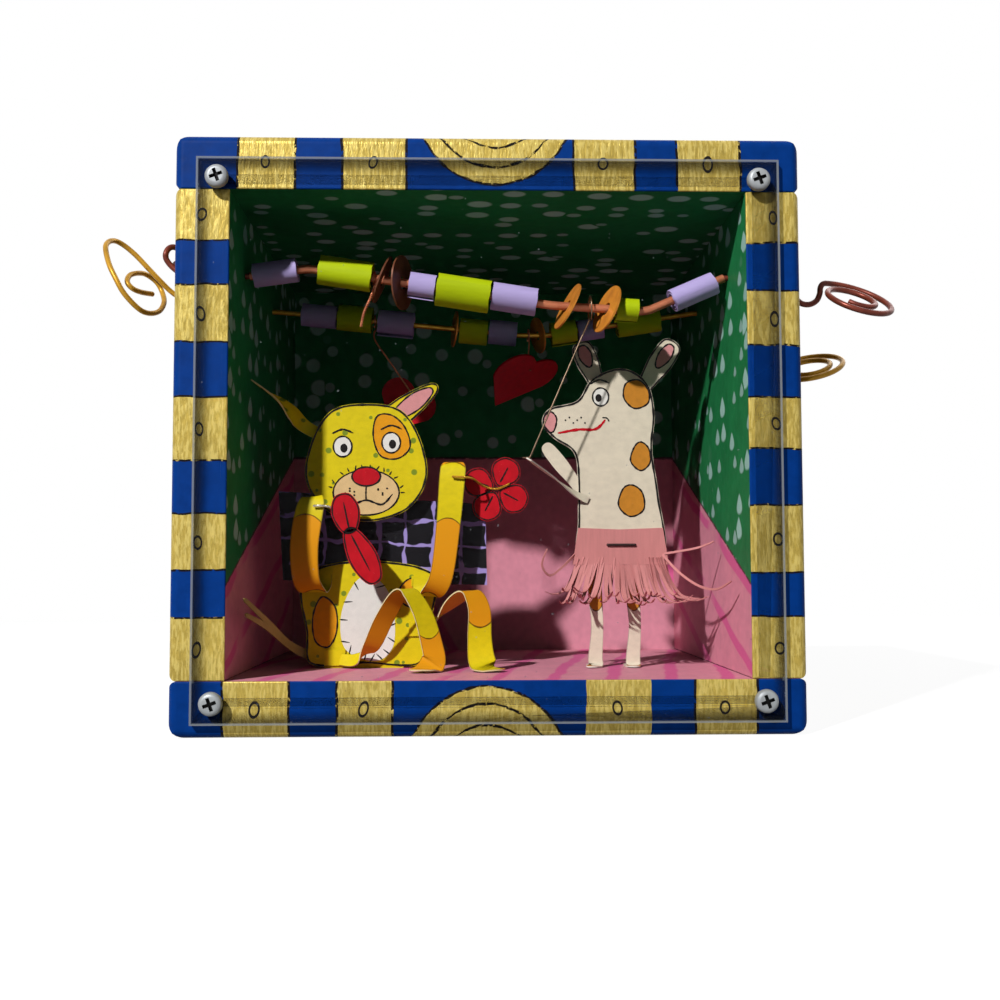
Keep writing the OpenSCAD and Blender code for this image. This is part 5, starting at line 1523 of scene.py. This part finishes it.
class SHADOW_BOX_OT_standing_dog(bpy.types.Operator):
    """Make the standing dog, its fringed skirt and the wire that it pulls"""

    bl_idname = "shadow_box.standing_dog"
    bl_label = "Standing dog"

    def execute(self, context):
        body = smooth_loop(STANDING_BODY)
        cut_sheet("standing_body_sheet", body, STANDING, STANDING.y, CREAM_COAT, "cream_sheet",
                  "standing_body")
        standing_marks(body)
        ears = Shape()
        paint = Painting(STANDING.y, STANDING)
        for base, tip, halves in STANDING_EARS:
            outline = leaf(base, tip, halves)
            ears.sheet(flat(outline, STANDING), STANDING.y + SHEET)
            paint.line(drawn_in(outline, 0.4), 0.6, closed=True)
            middle, end = Vector(base).lerp(Vector(tip), 0.55), Vector(base).lerp(Vector(tip), 0.95)
            paint.edged(leaf(middle, end, (0.8, 2.2, 2.4, 1.2)), "blush")
        ears.piece("standing_ear_sheets", CREAM_COAT, "box", "cream_sheet", ["standing_ears"])
        paint.finish("standing_ear_paint", "box", "cream_sheet")
        legs = Shape()
        for x, toe in LEGS:
            left, right = x - LEG_W / 2, x + LEG_W / 2
            legs.block(STANDING + Vector((left, 0, 46)), STANDING + Vector((right, SHEET, 58)))
            legs.block(STANDING + Vector((left, SHEET / 2, 0)), STANDING + Vector((right, 8, SHEET)))
            legs.strip(((x, 0.4, 48, 1, 0, 0, LEG_W), (x, 0.4, 30, 1, 0, 0, LEG_W),
                        (x + 0.8, 0.4, 16, 1, 0, 0, LEG_W - 0.8), (x, 0.4, 4, 1, 0, 0, LEG_W),
                        (x, -0.6, 0.9, 1, 0, 0, LEG_W),
                        (x + 3 * toe, -4.5, 0.6, 1, 0.5 * toe, 0, LEG_W - 1)), STANDING)
        legs.piece("standing_leg_strips", ["cream_limb", "pale_edge"], "box", "cream_sheet",
                   ["standing_legs"])
        paw = leaf((-12, 65), (-27.5, 84.5), (2, 2.2, 2.8, 2))
        cut_sheet("standing_paw_sheet", paw, STANDING, STANDING.y + SHEET, CREAM_COAT, "cream_sheet",
                  "standing_right_arm")
        arm = Shape()
        arm.strip(((-11.5, -1.4, 63.5, 0.5, 0, 0.87, 2.4), (-17.5, -3.6, 66.4, 0.2, 0.8, 0.4, 3.4),
                   (-26, -10.4, 72, 0, 1, 0, 3.6),
                   (LUG.x + 0.2, LUG.y - 1.4, LUG.z - 0.3, 0, 1, 0, 3.4)), STANDING)
        arm.piece("standing_arm_strip", CREAM_COAT, "box", "cream_sheet", ["standing_left_arm"])
        skirt = Shape()
        skirt.sheet(flat([Vector(p) for p in SKIRT], STANDING), STANDING.y - SHEET)
        for rows in LOOSE_STRANDS:
            skirt.strip(rows, STANDING, 0.4)
        skirt.piece("skirt_sheet", ["skirt", "skirt"], "box", "pink_sheet", ["skirt"])
        hem = STANDING + Vector((0.8, -1.5 * SHEET, SKIRT_LOW))
        reach = Vector((SKIRT_HALF - 0.6, 0, 0))
        mesh = grown("skirt_fringe", fringe_strand(), TREES["fringe"], Count=settings()[2].strands,
                     Start=(hem - reach) * MM, End=(hem + reach) * MM, Lean=FRINGE_LEAN,
                     Material=MATERIALS["skirt"])
        make_piece("skirt_fringe", mesh, "box")
        clad("skirt_stitch", "dark_wire")
        rod = JOINT["copper_turn"]
        eye = Vector((PULL_X, rod.y, rod_at(rod, COPPER_BENDS, PULL_X)[0]))
        lug = JOINT["pull_wire_swing"]
        ring = ring_path(eye, (PULL_EYE + RING_STOCK) / 2)
        pull = [lug - Vector((1.4, 0, 0)), lug + Vector((1.2, 0, 0)), lug + Vector((1.9, 0, 1.4))]
        wire_piece("pull_wire_loop", [pull + ring], 0.65 * WIRE_D, "grey_wire", "pull_wire_link",
                   ["pull_wire"], 12)
        return {"FINISHED"}


FLOOR_SHARE = 0.8
FLOOR_SEEN = (0.86, 0.86, 0.86)
FLOOR_THROWN = (0.12, 0.12, 0.12)
FLOOR_GLOW = 1.16
FLOOR_HALF = 900
FLOOR_Z = -0.2
CAMERA_AT = Vector((-7.07, FRONT - 400.2, 56.0))
CAMERA_TURN = (93.403, 0.143, -1.504)
CAMERA_LENS = 42.46
KEY_FROM = Vector((-0.64, -1.0, 0.80))
KEY_AWAY = 2200
KEY_SIZE = 0.07
REAR_FROM = Vector((0.55, 0.6, 0.58))
REAR_AWAY = 1300
REAR_SIZE = 0.9
REAR_POWER = 4.0


def looked_at(tree):
    """1 for the camera's own rays and for mirrored or clear ones, and 0 for light that falls on things."""
    rays = tree.node("ShaderNodeLightPath").outputs
    return tree.most(rays["Is Camera Ray"], tree.most(rays["Is Glossy Ray"], rays["Is Transmission Ray"]))


def stage_paint():
    """White for the camera and for reflections, pale grey with the object's shadow for other light."""
    material = bpy.data.materials.new("stage_paper")
    material.use_nodes = True
    t = Tree(material.node_tree)
    t.tree.nodes.clear()
    shader = t.fed(t.node("ShaderNodeBsdfPrincipled"), Roughness=0.9, Specular_IOR_Level=0.0)
    glow = t.node("ShaderNodeEmission", (1, 1, 1), FLOOR_GLOW)
    seen = looked_at(t)
    t.fed(shader, Base_Color=t.mix(seen, FLOOR_THROWN, FLOOR_SEEN))
    share = t.times(seen, FLOOR_SHARE)
    both = t.node("ShaderNodeMixShader", share, shader.outputs[0], glow.outputs[0])
    t.node("ShaderNodeOutputMaterial", both.outputs[0])
    return material


def white_world(fill):
    """White where it is seen or mirrored, and softer as light."""
    world = bpy.data.worlds.new("studio")
    world.use_nodes = True
    t = Tree(world.node_tree)
    t.tree.nodes.clear()
    strength = t.scaled(looked_at(t), 1.0 - fill, fill)
    t.node("ShaderNodeOutputWorld", t.node("ShaderNodeBackground", (1, 1, 1), strength).outputs[0])
    return world


def hang_light(name, way, distance, size, power):
    """A square light that looks at the middle of the front from a direction."""
    lamp = bpy.data.lights.new(name, "AREA")
    lamp.energy = power
    lamp.size = size
    hung = bpy.data.objects.new(name, lamp)
    hung.location = (Vector((0, FRONT, BOX_TOP / 2)) + way.normalized() * distance) * MM
    hung.rotation_euler = way.to_track_quat("Z", "Y").to_euler()
    bpy.context.scene.collection.objects.link(hung)


class SHADOW_BOX_OT_stage(bpy.types.Operator):
    """Lay the floor, hang the lights and set the camera"""

    bl_idname = "shadow_box.stage"
    bl_label = "Stage"

    def execute(self, context):
        scene = context.scene
        light = settings()[3]
        corners = ((-1, -1), (1, -1), (1, 1), (-1, 1))
        floor = bpy.data.meshes.new("floor")
        floor.from_pydata([Vector((x * FLOOR_HALF, y * FLOOR_HALF, FLOOR_Z)) * MM for x, y in corners],
                          [], [(0, 1, 2, 3)])
        floor.materials.append(stage_paint())
        ground = bpy.data.objects.new("floor", floor)
        scene.collection.objects.link(ground)
        scene.world = white_world(light.fill)
        hang_light("key", KEY_FROM, KEY_AWAY, KEY_SIZE, light.key)
        hang_light("rear", REAR_FROM, REAR_AWAY, REAR_SIZE, REAR_POWER)
        lens = bpy.data.cameras.new("camera")
        lens.lens = CAMERA_LENS
        lens.sensor_width = 36
        lens.clip_start = 0.01
        camera = bpy.data.objects.new("camera", lens)
        camera.location = CAMERA_AT * MM
        camera.rotation_euler = Euler([math.radians(a) for a in CAMERA_TURN])
        scene.collection.objects.link(camera)
        scene.camera = camera
        scene.cycles.diffuse_bounces = 1
        scene.view_settings.view_transform = "Standard"
        return {"FINISHED"}


class SHADOW_BOX_PT_panel(bpy.types.Panel):
    """Lists the parts of the shadow box and their values"""

    bl_idname = "SHADOW_BOX_PT_panel"
    bl_label = "Shadow Box"
    bl_space_type = "VIEW_3D"
    bl_region_type = "UI"
    bl_category = "Shadow Box"

    def draw(self, context):
        for group in settings():
            column = self.layout.column(align=True)
            for name in group.__annotations__:
                column.prop(group, name)
        for operator in OPERATORS:
            self.layout.operator(operator.bl_idname)


GROUPS = {"shadow_box_colours": ShadowBoxColours, "garland_colours": GarlandColours,
          "dog_colours": DogColours, "stage_light": StageLight}
OPERATORS = (SHADOW_BOX_OT_stage, SHADOW_BOX_OT_box, SHADOW_BOX_OT_front, SHADOW_BOX_OT_garlands,
             SHADOW_BOX_OT_seated_dog, SHADOW_BOX_OT_standing_dog)


def register():
    for kind in (*GROUPS.values(), *OPERATORS, SHADOW_BOX_PT_panel):
        bpy.utils.register_class(kind)
    for name, kind in GROUPS.items():
        setattr(bpy.types.Scene, name, PointerProperty(type=kind))


def unregister():
    for name in GROUPS:
        delattr(bpy.types.Scene, name)
    for kind in (SHADOW_BOX_PT_panel, *OPERATORS, *GROUPS.values()):
        bpy.utils.unregister_class(kind)


def main():
    register()
    build_shared()
    build_materials()
    TREES.update(wire=wire_tree(), twisted=twisted_tree(), marks=mark_tree(), fringe=fringe_tree())
    bpy.ops.shadow_box.stage()
    bpy.ops.shadow_box.box()
    bpy.ops.shadow_box.front()
    bpy.ops.shadow_box.garlands()
    bpy.ops.shadow_box.seated_dog()
    bpy.ops.shadow_box.standing_dog()


if __name__ == "__main__":
    main()
